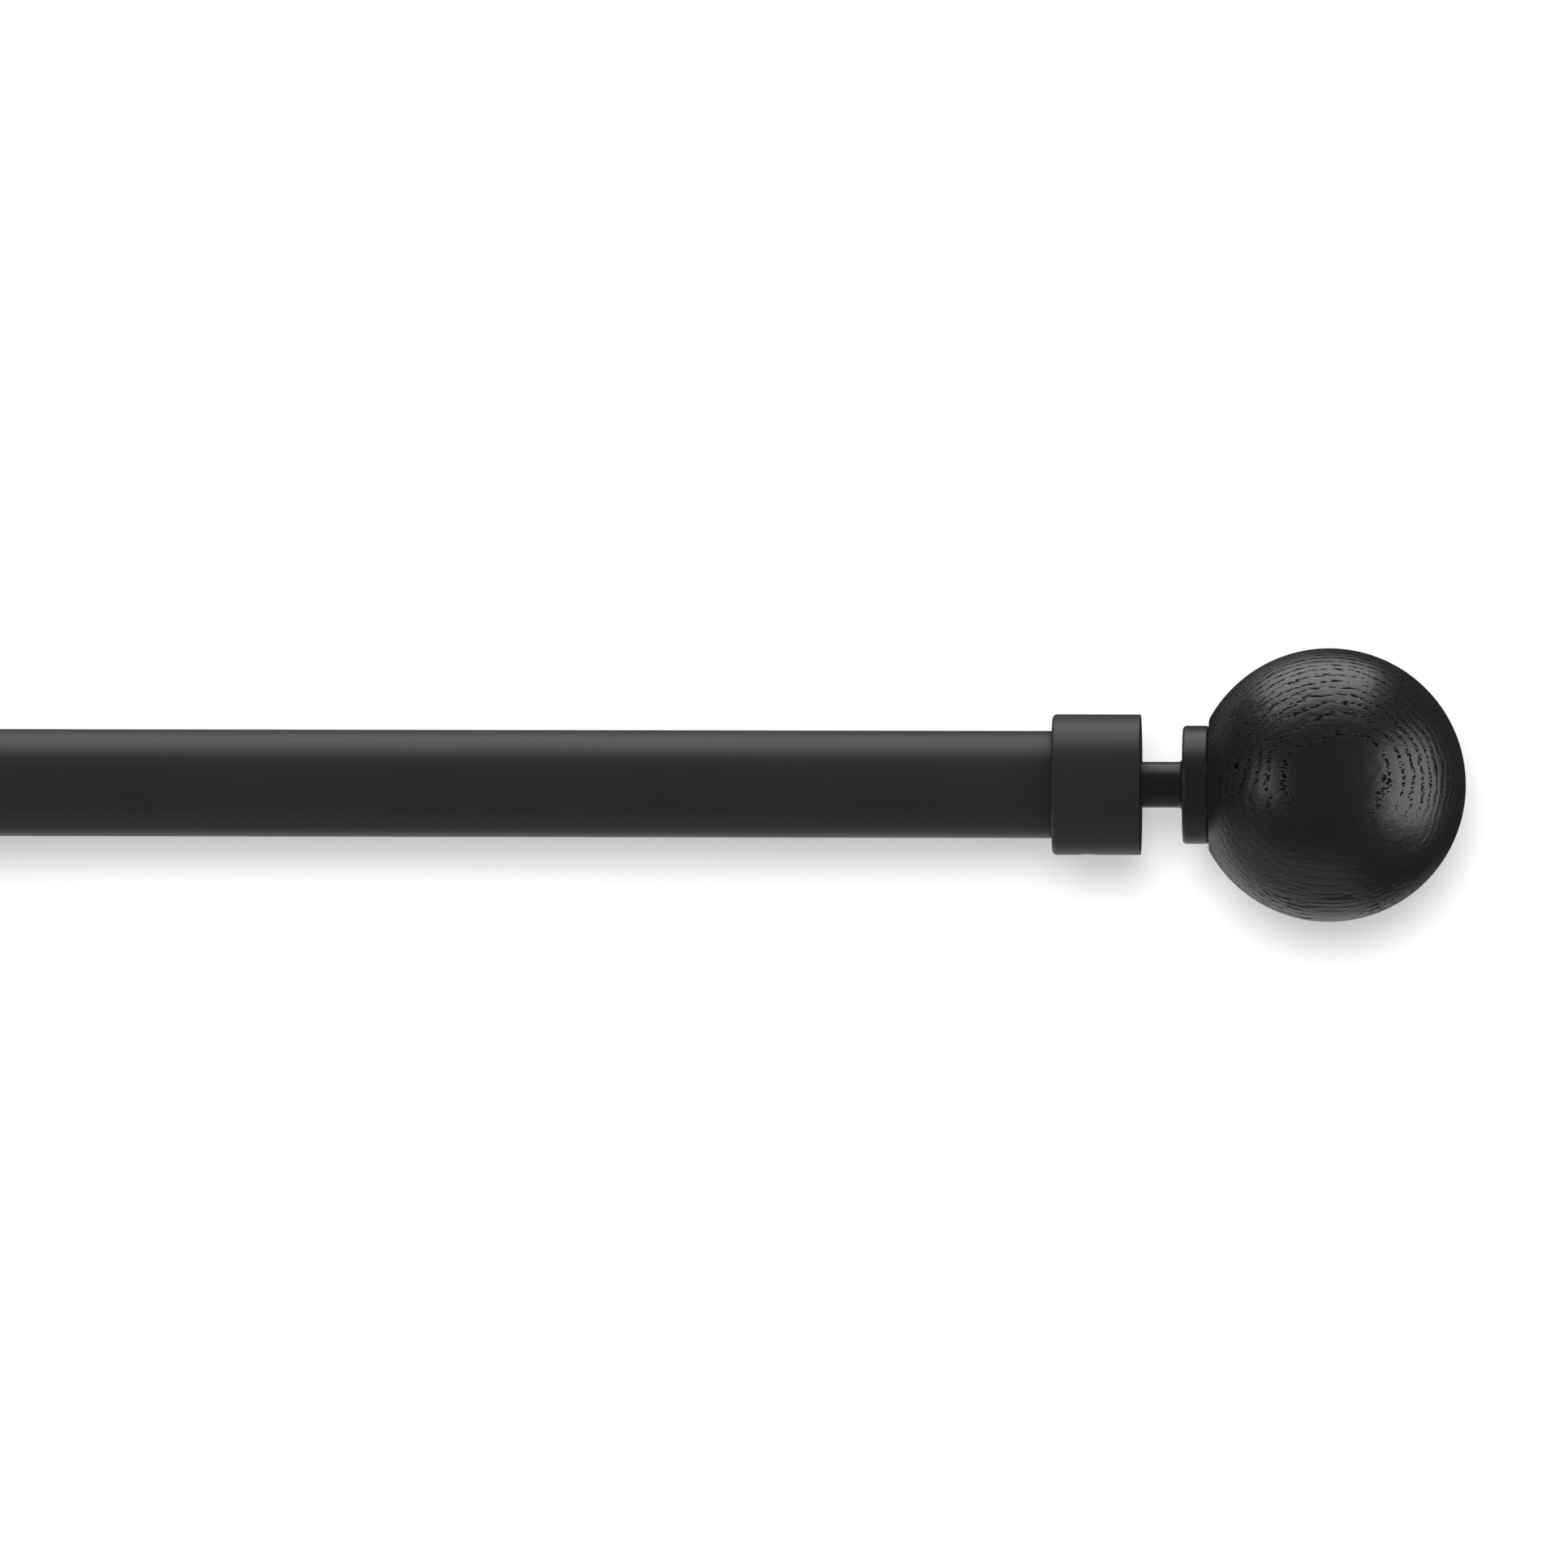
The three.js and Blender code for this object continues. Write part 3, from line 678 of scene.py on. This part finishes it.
lift = wire(threading, "ShaderNodeCombineXYZ", {"Z": take["From"]})
lifted = wire(threading, "GeometryNodeTransform",
              {"Geometry": ridge.outputs[0], "Translation": lift.outputs[0]})
joined = wire(threading, "GeometryNodeJoinGeometry")
for part in (take["Geometry"], lifted.outputs[0]):
    threading.links.new(part, joined.inputs[0])
close_tree(threading, take, joined.outputs[0])


def threaded(core, material, radius, pitch, start, length, steps=20):
    """Adds a helical ridge to a core mesh, in millimetres along +Z."""
    return grow(threading, core, Radius=radius * mm, Pitch=pitch * mm, From=start * mm, Length=length * mm,
                Steps=steps, Material=material)


def finial_bolt(side, body, way):
    low, high, radius = size_of(f"{side}_finial_bolt")
    radius /= mm
    length = (high.x - low.x) / mm
    core = turned([(0, 0, 0), (0, radius - 0.9, 0), (0.6, radius - 0.5, 1), (length - 3, radius - 0.5, 0),
                   (length, 0.4, 1), (length, 0, 0)], zinc, 48, closed=False)
    bolt = threaded(core, zinc, radius, 1.0, 0.5, length - 4.5)
    bolt = place(bolt, way, on_axis(low.x if way.x > 0 else high.x))
    piece(f"bolt_{side}", bolt, body, "screw_steel", f"{side}_finial_bolt")


finial_bolt("right", "right_bolt", right_way)
finial_bolt("left", "left_bolt", left_way)

# ----------------------------------------
# Wall plates and wall screws
# Each bracket stands on a round plate with an eased front edge, held to the wall by two countersunk
# screws with cross recesses, one above and one below the arm.
# ----------------------------------------
outward, inward = Vector((0, -1, 0)), Vector((0, 1, 0))
plate_thickness, screw_offset = 6.0, 19.0
spigot_radius, spigot_depth = 4.0, 3.5
screw_radius, screw_head, screw_sunk = 2.1, 4.0, 0.15


def box_mesh(low, high, material):
    """A closed block between two corners, in millimetres."""
    block = bmesh.new()
    bmesh.ops.create_cube(block, size=1.0)
    for vertex in block.verts:
        vertex.co = [(low[i] + high[i]) / 2 * mm + vertex.co[i] * (high[i] - low[i]) * mm for i in range(3)]
    mesh = bpy.data.meshes.new("block")
    block.to_mesh(mesh)
    block.free()
    mesh.materials.append(material)
    return mesh


def countersunk_screw(material, head, shank, length, point, pitch, thread_from, span, depth):
    """A countersunk screw along +Z: cross recess in its head's face at 0, thread along its shank."""
    root, arm, slot = shank * 0.8, span / 2, 0.55
    core = turned([(0, 0, 0), (0, head - 0.1, 1), (0.1, head, 1), (head - shank, root, 0),
                   (length - point, root, 0), (length, 0.12, 1), (length, 0, 0)], material, 64, closed=False)
    core = cut_away(core, box_mesh((-arm, -slot, -1), (arm, slot, depth), material),
                    box_mesh((-slot, -arm, -1), (slot, arm, depth), material))
    return threaded(core, material, shank, pitch, thread_from, length - point * 0.55 - thread_from, 18)


# Screws repeat on a line, so one screw is placed on points
placing, take = geometry_tree("screws_in_line", [("Screw", "NodeSocketObject"), ("First", VECTOR),
                                                 ("Step", VECTOR), ("Count", WHOLE), ("Turn", VECTOR)])
spots = wire(placing, "GeometryNodeMeshLine",
             {"Count": take["Count"], "Start Location": take["First"], "Offset": take["Step"]})
sample = wire(placing, "GeometryNodeObjectInfo", {"Object": take["Screw"]})
quarter = wire(placing, "ShaderNodeVectorMath", {0: take["Turn"]}, operation="SCALE")
placing.links.new(wire(placing, "GeometryNodeInputIndex").outputs[0], quarter.inputs["Scale"])
spun = shifted(placing, (-math.pi / 2, 0, 0), quarter.outputs[0])
copies = wire(placing, "GeometryNodeInstanceOnPoints",
              {"Points": spots.outputs[0], "Instance": sample.outputs["Geometry"], "Rotation": spun})
close_tree(placing, take, copies.outputs[0])


def plate_and_screws(side, body):
    low, high, radius = size_of(f"{side}_wall_plate")
    radius /= mm
    centre = Vector(((low.x + high.x) / 2, high.y, 0))
    plate = turned(filleted([
        (0, 0, 0),
        (0, radius, 0.3),
        (plate_thickness, radius, 2.0),
        (plate_thickness, spigot_radius + 0.15, 0.2),
        (plate_thickness - spigot_depth, spigot_radius + 0.15, 0),
        (plate_thickness - spigot_depth, 0, 0),
    ], 8), black_coat, 224, closed=False)
    wide, narrow = screw_head + 0.3, screw_radius + 0.3
    seat = plate_thickness - screw_sunk
    sinks = []
    for z in (screw_offset, -screw_offset):
        sink = turned([(-0.5, 0, 0), (-0.5, narrow, 0), (seat - (wide - narrow), narrow, 0), (seat, wide, 0),
                       (plate_thickness + 1, wide, 0), (plate_thickness + 1, 0, 0)],
                      black_coat, 64, closed=False)
        sink.transform(Matrix.Translation((0, z * mm, 0)))
        sinks.append(sink)
    plate = cut_away(plate, *sinks)
    piece(f"plate_{side}", place(plate, outward, centre), body, "black_coat", f"{side}_wall_plate")

    screw_low, screw_high, _ = size_of(f"{side}_wall_screw_upper")
    length = (screw_high.y - screw_low.y) / mm
    pattern = countersunk_screw(black_screw, screw_head, screw_radius, length, 5.0, 1.6, 4.0, 4.4, 1.5)
    screw = shown("screw_pattern", pattern)
    both = grow(placing, bpy.data.meshes.new("spots"), Screw=screw, Count=2, Turn=(0, 0.6, 0),
                First=(centre.x, screw_low.y, screw_offset * mm), Step=(0, 0, -2 * screw_offset * mm),
                Material=black_screw)
    bpy.data.objects.remove(screw)
    piece(f"wall_screws_{side}", smooth(both), body, "screw_steel", f"{side}_wall_screw_upper",
          f"{side}_wall_screw_lower")


plate_and_screws("right", "right_bracket")
plate_and_screws("left", "left_bracket")

# ----------------------------------------
# Bracket arms
# A round bar with a flange that bears on the plate and sweeps into the bar in a small cove. Its foot
# is a spigot in the plate and its far end is tapped for the cup screw.
# ----------------------------------------
arm_radius, arm_flange, arm_flange_length, arm_cove = 6.35, 10.3, 3.0, 2.0
tap_radius, tap = 2.15, 12.0


def bracket_arm(side, body):
    low, high, _ = size_of(f"{side}_bracket_arm")
    plate_high = size_of(f"{side}_wall_plate")[1]
    wall = Vector(((low.x + high.x) / 2, plate_high.y, 0))
    foot, end = (wall.y - high.y) / mm, (wall.y - low.y) / mm
    profile = filleted([
        (foot, 0, 0),
        (foot, spigot_radius, 0.4),
        (plate_thickness, spigot_radius, 0),
        (plate_thickness, arm_flange, 0.3),
        (plate_thickness + arm_flange_length, arm_flange, 0.8),
        (plate_thickness + arm_flange_length, arm_radius, -arm_cove),
        (end, arm_radius, 0.35),
        (end, tap_radius, 0),
        (end - tap, tap_radius, 0),
        (end - tap, 0, 0),
    ], 8)
    arm = place(turned(profile, black_coat, 160, closed=False), outward, wall)
    piece(f"arm_{side}", arm, body, "black_coat", f"{side}_bracket_arm")


bracket_arm("right", "right_bracket")
bracket_arm("left", "left_bracket")

# ----------------------------------------
# Cups, cup screws and liners
# Each cup is a strip of steel bent to an open-topped U, low in front and tall behind, with a boss
# behind for the arm and a boss in front for the clamp screw. A countersunk screw holds it to the
# arm, and a strip of black rubber is stuck in its bottom under the rod.
# ----------------------------------------
cup_width, cup_inner, cup_outer = 20.0, 14.0, 17.0
cup_front, cup_back = 8.5, 16.0
boss_back, boss_back_length = 7.8, 2.0
boss_front, boss_front_length = 4.7, 3.0


def swing(across, up, radius, first, last, steps):
    """Points on an arc, from one angle to another in degrees."""
    turns = [math.radians(first + (last - first) * k / steps) for k in range(steps + 1)]
    return [(across + radius * math.cos(t), up + radius * math.sin(t)) for t in turns]


def bent_strip(outline, x, width, edge, material):
    """A flat outline of (towards wall, up) points, made as wide as the strip, with eased edges."""
    shell = bmesh.new()
    loops = []
    for side in (-1, 1):
        across = x + side * width / 2 * mm
        loops.append([shell.verts.new((across, rod_y + a * mm, b * mm)) for a, b in outline])
    near, far = loops
    count = len(outline)
    shell.faces.new(near)
    shell.faces.new(far)
    for i in range(count):
        shell.faces.new((near[i], near[(i + 1) % count], far[(i + 1) % count], far[i]))
    bmesh.ops.recalc_face_normals(shell, faces=shell.faces)
    rims = [e for e in shell.edges if abs(e.verts[0].co.x - e.verts[1].co.x) < 1e-7]
    bmesh.ops.bevel(shell, geom=rims, offset=edge * mm, segments=4, profile=0.5, affect="EDGES")
    wear = shell.verts.layers.float.new("wear")
    for vertex in shell.verts:
        inset = width / 2 - abs(vertex.co.x - x) / mm
        vertex[wear] = 1.0 if 0.05 * edge < inset < 0.95 * edge else 0.0
    mesh = bpy.data.meshes.new("strip")
    shell.to_mesh(mesh)
    shell.free()
    mesh.materials.append(material)
    return mesh


black_rubber = moulded("black_rubber", (0.018, 0.018, 0.018), 0.82, 0.03, 1500.0)


def cup_set(side, body):
    low, high, _ = size_of(f"{side}_cup")
    x = (low.x + high.x) / 2
    tip, tip_middle = (cup_outer - cup_inner) / 2, (cup_outer + cup_inner) / 2
    outline = (swing(0, 0, cup_inner, 180, 360, 64) + swing(tip_middle, cup_back, tip, 180, 0, 12)
               + swing(0, 0, cup_outer, 0, -180, 64) + swing(-tip_middle, cup_front, tip, 180, 0, 12))
    strip = bent_strip(outline, x, cup_width, 0.5, black_coat)

    # The bosses are let into the strip and brazed
    root = cup_inner + 1.2
    bosses = []
    for way, radius, length, fillet, sides in ((inward, boss_back, boss_back_length, 0.4, 96),
                                               (outward, boss_front, boss_front_length, 0.5, 72)):
        boss = filleted([(root, 0, 0), (root, radius, 0), (cup_outer + length, radius, fillet),
                         (cup_outer + length, 0, 0)])
        bosses.append(laid(turned(boss, black_coat, sides, closed=False), way, on_axis(x)))
    strip = carve(strip, "UNION", bosses)
    face = cup_inner + 0.3
    wide, narrow = 4.1, 2.3
    sink = turned([(cup_inner - 1, 0, 0), (cup_inner - 1, wide, 0), (face, wide, 0),
                   (face + wide - narrow, narrow, 0), (cup_outer + 5, narrow, 0), (cup_outer + 5, 0, 0)],
                  black_coat, 64, closed=False)
    bore = pin(rod_radius, cup_outer + 6, tap_radius)
    cup = cut_away(strip, laid(sink, inward, on_axis(x)), laid(bore, outward, on_axis(x)))
    piece(f"cup_{side}", smooth(cup), body, "black_coat", f"{side}_cup")

    screw = countersunk_screw(black_screw, 3.8, 2.0, 16.0, 1.0, 0.7, 3.0, 4.0, 1.5)
    screw = place(screw, inward, Vector((x, rod_y + face * mm, 0)))
    piece(f"cup_screw_{side}", screw, body, "screw_steel", f"{side}_cup_screw")

    liner_inner, liner_outer = rod_radius + 0.1, rod_radius + 1.2
    strip = bent_strip(swing(0, 0, liner_inner, 205, 335, 48) + swing(0, 0, liner_outer, 335, 205, 48),
                       x, cup_width - 2, 0.3, black_rubber)
    piece(f"liner_{side}", smooth(strip), body, "liner_rubber", f"{side}_cup_liner")


cup_set("right", "right_bracket")
cup_set("left", "left_bracket")

# ----------------------------------------
# Clamp screws
# A threaded stud runs through the boss and bears on the rod. A small fluted knob, turned and coated
# black, is pressed on its outer end.
# ----------------------------------------
fluting, take = geometry_tree("fluted_knob", [("Count", FLOAT), ("Depth", FLOAT), ("Rim", FLOAT),
                                              ("Low", FLOAT), ("High", FLOAT)])
run_out, sharpness = 0.6 * mm, 1.6
position = wire(fluting, "GeometryNodeInputPosition").outputs[0]
spot = wire(fluting, "ShaderNodeSeparateXYZ", {0: position}).outputs
angle = figure(fluting, "ARCTAN2", spot["Y"], spot["X"])
wave = figure(fluting, "COSINE", product(fluting, angle, take["Count"]))
groove = figure(fluting, "POWER", figure(fluting, "MULTIPLY_ADD", wave, -0.5, 0.5), sharpness)
flat_place = wire(fluting, "ShaderNodeCombineXYZ", {"X": spot["X"], "Y": spot["Y"]}).outputs[0]
reach = wire(fluting, "ShaderNodeVectorMath", {0: flat_place}, operation="LENGTH").outputs["Value"]
low_end = figure(fluting, "ADD", take["Low"], run_out)
high_end = figure(fluting, "SUBTRACT", take["High"], run_out)
above = wire(fluting, "ShaderNodeMapRange",
             {"Value": spot["Z"], "From Min": take["Low"], "From Max": low_end}).outputs[0]
below = wire(fluting, "ShaderNodeMapRange",
             {"Value": spot["Z"], "From Min": high_end, "From Max": take["High"],
              "To Min": 1.0, "To Max": 0.0}).outputs[0]
amount = product(fluting, groove, figure(fluting, "GREATER_THAN", reach, take["Rim"]), above, below,
                 take["Depth"], -1.0)
towards_axis = wire(fluting, "ShaderNodeVectorMath", {0: flat_place}, operation="NORMALIZE").outputs[0]
push = wire(fluting, "ShaderNodeVectorMath", {0: towards_axis, "Scale": amount}, operation="SCALE")
moved = wire(fluting, "GeometryNodeSetPosition", {"Geometry": take["Geometry"], "Offset": push.outputs[0]})
close_tree(fluting, take, moved.outputs[0])

stud_root, knob_bore, knob_depth, flute_count, flute_depth = 1.65, 2.15, 6.1, 24.0, 0.5


def clamp_screw(side, thread_body, grip_body):
    low, high, _ = size_of(f"{side}_clamp_stud")
    x = (low.x + high.x) / 2
    tip, tail = (rod_y - high.y) / mm, (rod_y - low.y) / mm
    reach = tail - tip
    core = turned([(0, 0, 0), (0, 1.3, 0), (0.5, stud_root, 1), (reach, stud_root, 0), (reach, 0, 0)],
                  zinc, 40, closed=False)
    stud = place(threaded(core, zinc, 2.0, 0.7, 0.6, reach - 1.2, 16), outward, Vector((x, high.y, 0)))
    piece(f"clamp_stud_{side}", stud, thread_body, "screw_steel", f"{side}_clamp_stud")

    knob_low, knob_high, knob_radius = size_of(f"{side}_clamp_knob")
    knob_radius /= mm
    length = (knob_high.y - knob_low.y) / mm
    rim = [(0, 1.0, 0.4), (0.25, 0.45, 1), (0.55, 0.12, 1)]
    bands = [(0.9 + (length - 1.8) * k / 12, knob_radius, 0.5) for k in range(13)]
    dish = [(0, 2.0, 0), (0.35, 2.3, 0)]
    profile = [(0, 0, 0), *((a, knob_radius - r, w) for a, r, w in rim), *bands,
               *((length - a, knob_radius - r, w) for a, r, w in rim[::-1] + dish),
               (length - 0.35, 1.2, 0), (length - 0.2, 0.9, 0), (length - 0.35, 0.6, 0),
               (length - 0.35, 0, 0)]
    knob = grow(fluting, turned(profile, black_coat, 288, closed=False), Count=flute_count,
                Depth=flute_depth * mm, Rim=(knob_radius - 1.3) * mm, Low=0.0, High=length * mm,
                Material=black_coat)
    knob = place(cut_away(knob, pin(-1, knob_depth, knob_bore)), outward, Vector((x, knob_high.y, 0)))
    piece(f"clamp_knob_{side}", knob, grip_body, "black_coat", f"{side}_clamp_knob")


clamp_screw("right", "right_clamp_thread", "right_clamp_grip")
clamp_screw("left", "left_clamp_thread", "left_clamp_grip")

# ----------------------------------------
# Wall and floor
# A plain white wall just behind the plates, seen only from the front, and a pale floor below.
# ----------------------------------------


def plain_surface(name, corners, colour, glow):
    """A flat one-sided surface: it shows only from the side its corners turn towards."""
    material, tree, shader, where = finish_of(name, Roughness=0.9)
    tree.links.new(blend(tree, speckle(tree, where, 3.0, 2.0), [c * 0.995 for c in colour], colour),
                   shader.inputs["Base Color"])
    shader.inputs["Emission Color"].default_value = (1, 1, 1, 1)
    shader.inputs["Emission Strength"].default_value = glow
    clear = wire(tree, "ShaderNodeBsdfTransparent")
    behind = wire(tree, "ShaderNodeNewGeometry").outputs["Backfacing"]
    mix = wire(tree, "ShaderNodeMixShader", {0: behind, 1: shader.outputs[0], 2: clear.outputs[0]})
    output = next(n for n in tree.nodes if n.bl_idname == "ShaderNodeOutputMaterial")
    tree.links.new(mix.outputs[0], output.inputs["Surface"])
    mesh = bpy.data.meshes.new(name)
    mesh.from_pydata(corners, [], [tuple(range(len(corners)))])
    mesh.materials.append(material)
    made = shown(name, mesh)
    made.visible_glossy = made.visible_shadow = False
    return made


square = ((-1, -1), (1, -1), (1, 1), (-1, 1))
wall_gap, wall_half = 0.4 * mm, 30.0
plain_surface("wall", [(u * wall_half, wall_gap, v * wall_half) for u, v in square], (0.9, 0.9, 0.9), 0.0)
floor_drop, floor_half = 0.6, 40.0
floor = plain_surface("floor", [(u * floor_half, v * floor_half, -floor_drop) for u, v in square],
                      (0.02, 0.02, 0.02), 0.84)
floor.visible_diffuse = False

# ----------------------------------------
# Light
# A white backdrop, a soft sun from just above the line of sight, a wide fill and one from behind, and
# broad soft panels round the finial that draw the long highlights on the black finish.
# ----------------------------------------
world = bpy.data.worlds.new("studio")
bpy.context.scene.world = world
world.use_nodes = True
sky = world.node_tree
sky.nodes.clear()
path = wire(sky, "ShaderNodeLightPath").outputs
seen = wire(sky, "ShaderNodeBackground", {"Color": (1, 1, 1, 1), "Strength": 1.0}).outputs[0]
room = wire(sky, "ShaderNodeBackground", {"Color": (1, 1, 1, 1), "Strength": 0.03}).outputs[0]
backdrop = wire(sky, "ShaderNodeMixShader", {0: path["Is Camera Ray"], 1: room, 2: seen}).outputs[0]
wire(sky, "ShaderNodeOutputWorld", {"Surface": backdrop})


def distant_light(name, strength, spread, colour):
    """A far light that fills an angle of the sky and isn't seen in reflections."""
    light = bpy.data.lights.new(name, "SUN")
    light.energy, light.angle, light.color = strength, spread, colour
    made = shown(name, light)
    made.visible_glossy = False
    return made


sun_at = distant_light("sun", 1.9, 0.16, (1, 1, 1))
fill_at = distant_light("fill", 2.15, math.radians(170), (1, 0.96, 0.98))
rear_at = distant_light("rear", 5.0, math.radians(60), (1, 1, 1))


def panel(name, middle, across, upward, glow, edge=0.15):
    """A glowing rectangle that fades at its edges and is seen only in reflections."""
    material = bpy.data.materials.new(name)
    material.use_nodes = True
    tree = material.node_tree
    tree.nodes.clear()
    spot = wire(tree, "ShaderNodeSeparateXYZ", {0: wire(tree, "ShaderNodeTexCoord").outputs["UV"]}).outputs
    strength = glow
    for axis in ("X", "Y"):
        off = figure(tree, "ABSOLUTE", figure(tree, "MULTIPLY_ADD", spot[axis], 2.0, -1.0))
        strength = product(tree, fade(tree, off, 1 - 2 * edge, 1, 1.0, 0.0), strength)
    light = wire(tree, "ShaderNodeEmission", {"Color": (1, 1, 1, 1), "Strength": strength})
    wire(tree, "ShaderNodeOutputMaterial", {"Surface": light.outputs[0]})
    middle, across, upward = heart + Vector(middle), Vector(across), Vector(upward)
    mesh = bpy.data.meshes.new(name)
    mesh.from_pydata([middle + across * u + upward * v for u, v in square], [], [(0, 1, 2, 3)])
    chart = mesh.uv_layers.new(name="UVMap")
    for i, (u, v) in enumerate(square):
        chart.data[i].uv = ((u + 1) / 2, (v + 1) / 2)
    mesh.materials.append(material)
    made = shown(name, mesh)
    made.visible_camera = made.visible_diffuse = made.visible_shadow = False


heart = on_axis(size_of("right_finial_ball")[1].x - ball_radius * mm)
panel("panel_above", (-0.24, 0.25, 1.5), (1.04, 0, 0), (0, 0.94, 0), 2.5)
panel("panel_right", (1.43, -0.46, 0.05), (0.25, 0.82, 0), (0, 0, 0.9), 2.4)
panel("panel_left", (-1.149, -0.965, 0.05), (0.22, -0.26, 0), (0, 0, 0.4), 1.8, 0.3)
panel("panel_below", (-1.1, 0.2, -1.2), (1.7, 0, 0), (0, 0.9, 0), 0.34)
panel("panel_low_behind", (-1.2, 0.8, -0.6), (1.7, 0, 0), (0, 0, 0.46), 0.72)
panel("panel_high_behind", (-1.4, 1.0, 0.9), (1.5, 0, 0), (0, 0, 0.45), 0.33)

# ----------------------------------------
# Camera
# A long lens looks square at the finial end, from very slightly to the right.
# ----------------------------------------
view_width, view_distance = 0.3717, 6.0
swung, tilted = math.radians(2.3), math.radians(0.11)
camera = bpy.data.cameras.new("camera")
camera.sensor_width = 36.0
camera.lens = camera.sensor_width * view_distance / view_width
camera.clip_end = 100.0
camera_at = shown("camera", camera)
aim = Vector((0.2363, rod_y, 0.0))
back = Vector((math.sin(swung), -math.cos(swung), 0))
turn = Matrix((Vector((math.cos(swung), math.sin(swung), 0)), Vector((0, 0, 1)), back)).transposed()
camera_at.matrix_world = (Matrix.Translation(aim + back * view_distance) @ turn.to_4x4()
                          @ Matrix.Rotation(tilted, 4, "Z"))
bpy.context.scene.camera = camera_at

# The sun stands close to the line of sight: a little above it and to its left
above, left = math.radians(4.4), math.radians(2.0)
shine = Vector((back.x - math.tan(left), back.y, math.tan(above))).normalized()
sun_at.matrix_world = facing_along(shine, aim)
fill_at.matrix_world = facing_along((0, -1, 0), aim)
rear_at.matrix_world = facing_along(Vector((0.35, 0.8, 0.5)).normalized(), aim)
bpy.context.scene.view_settings.view_transform = "Standard"
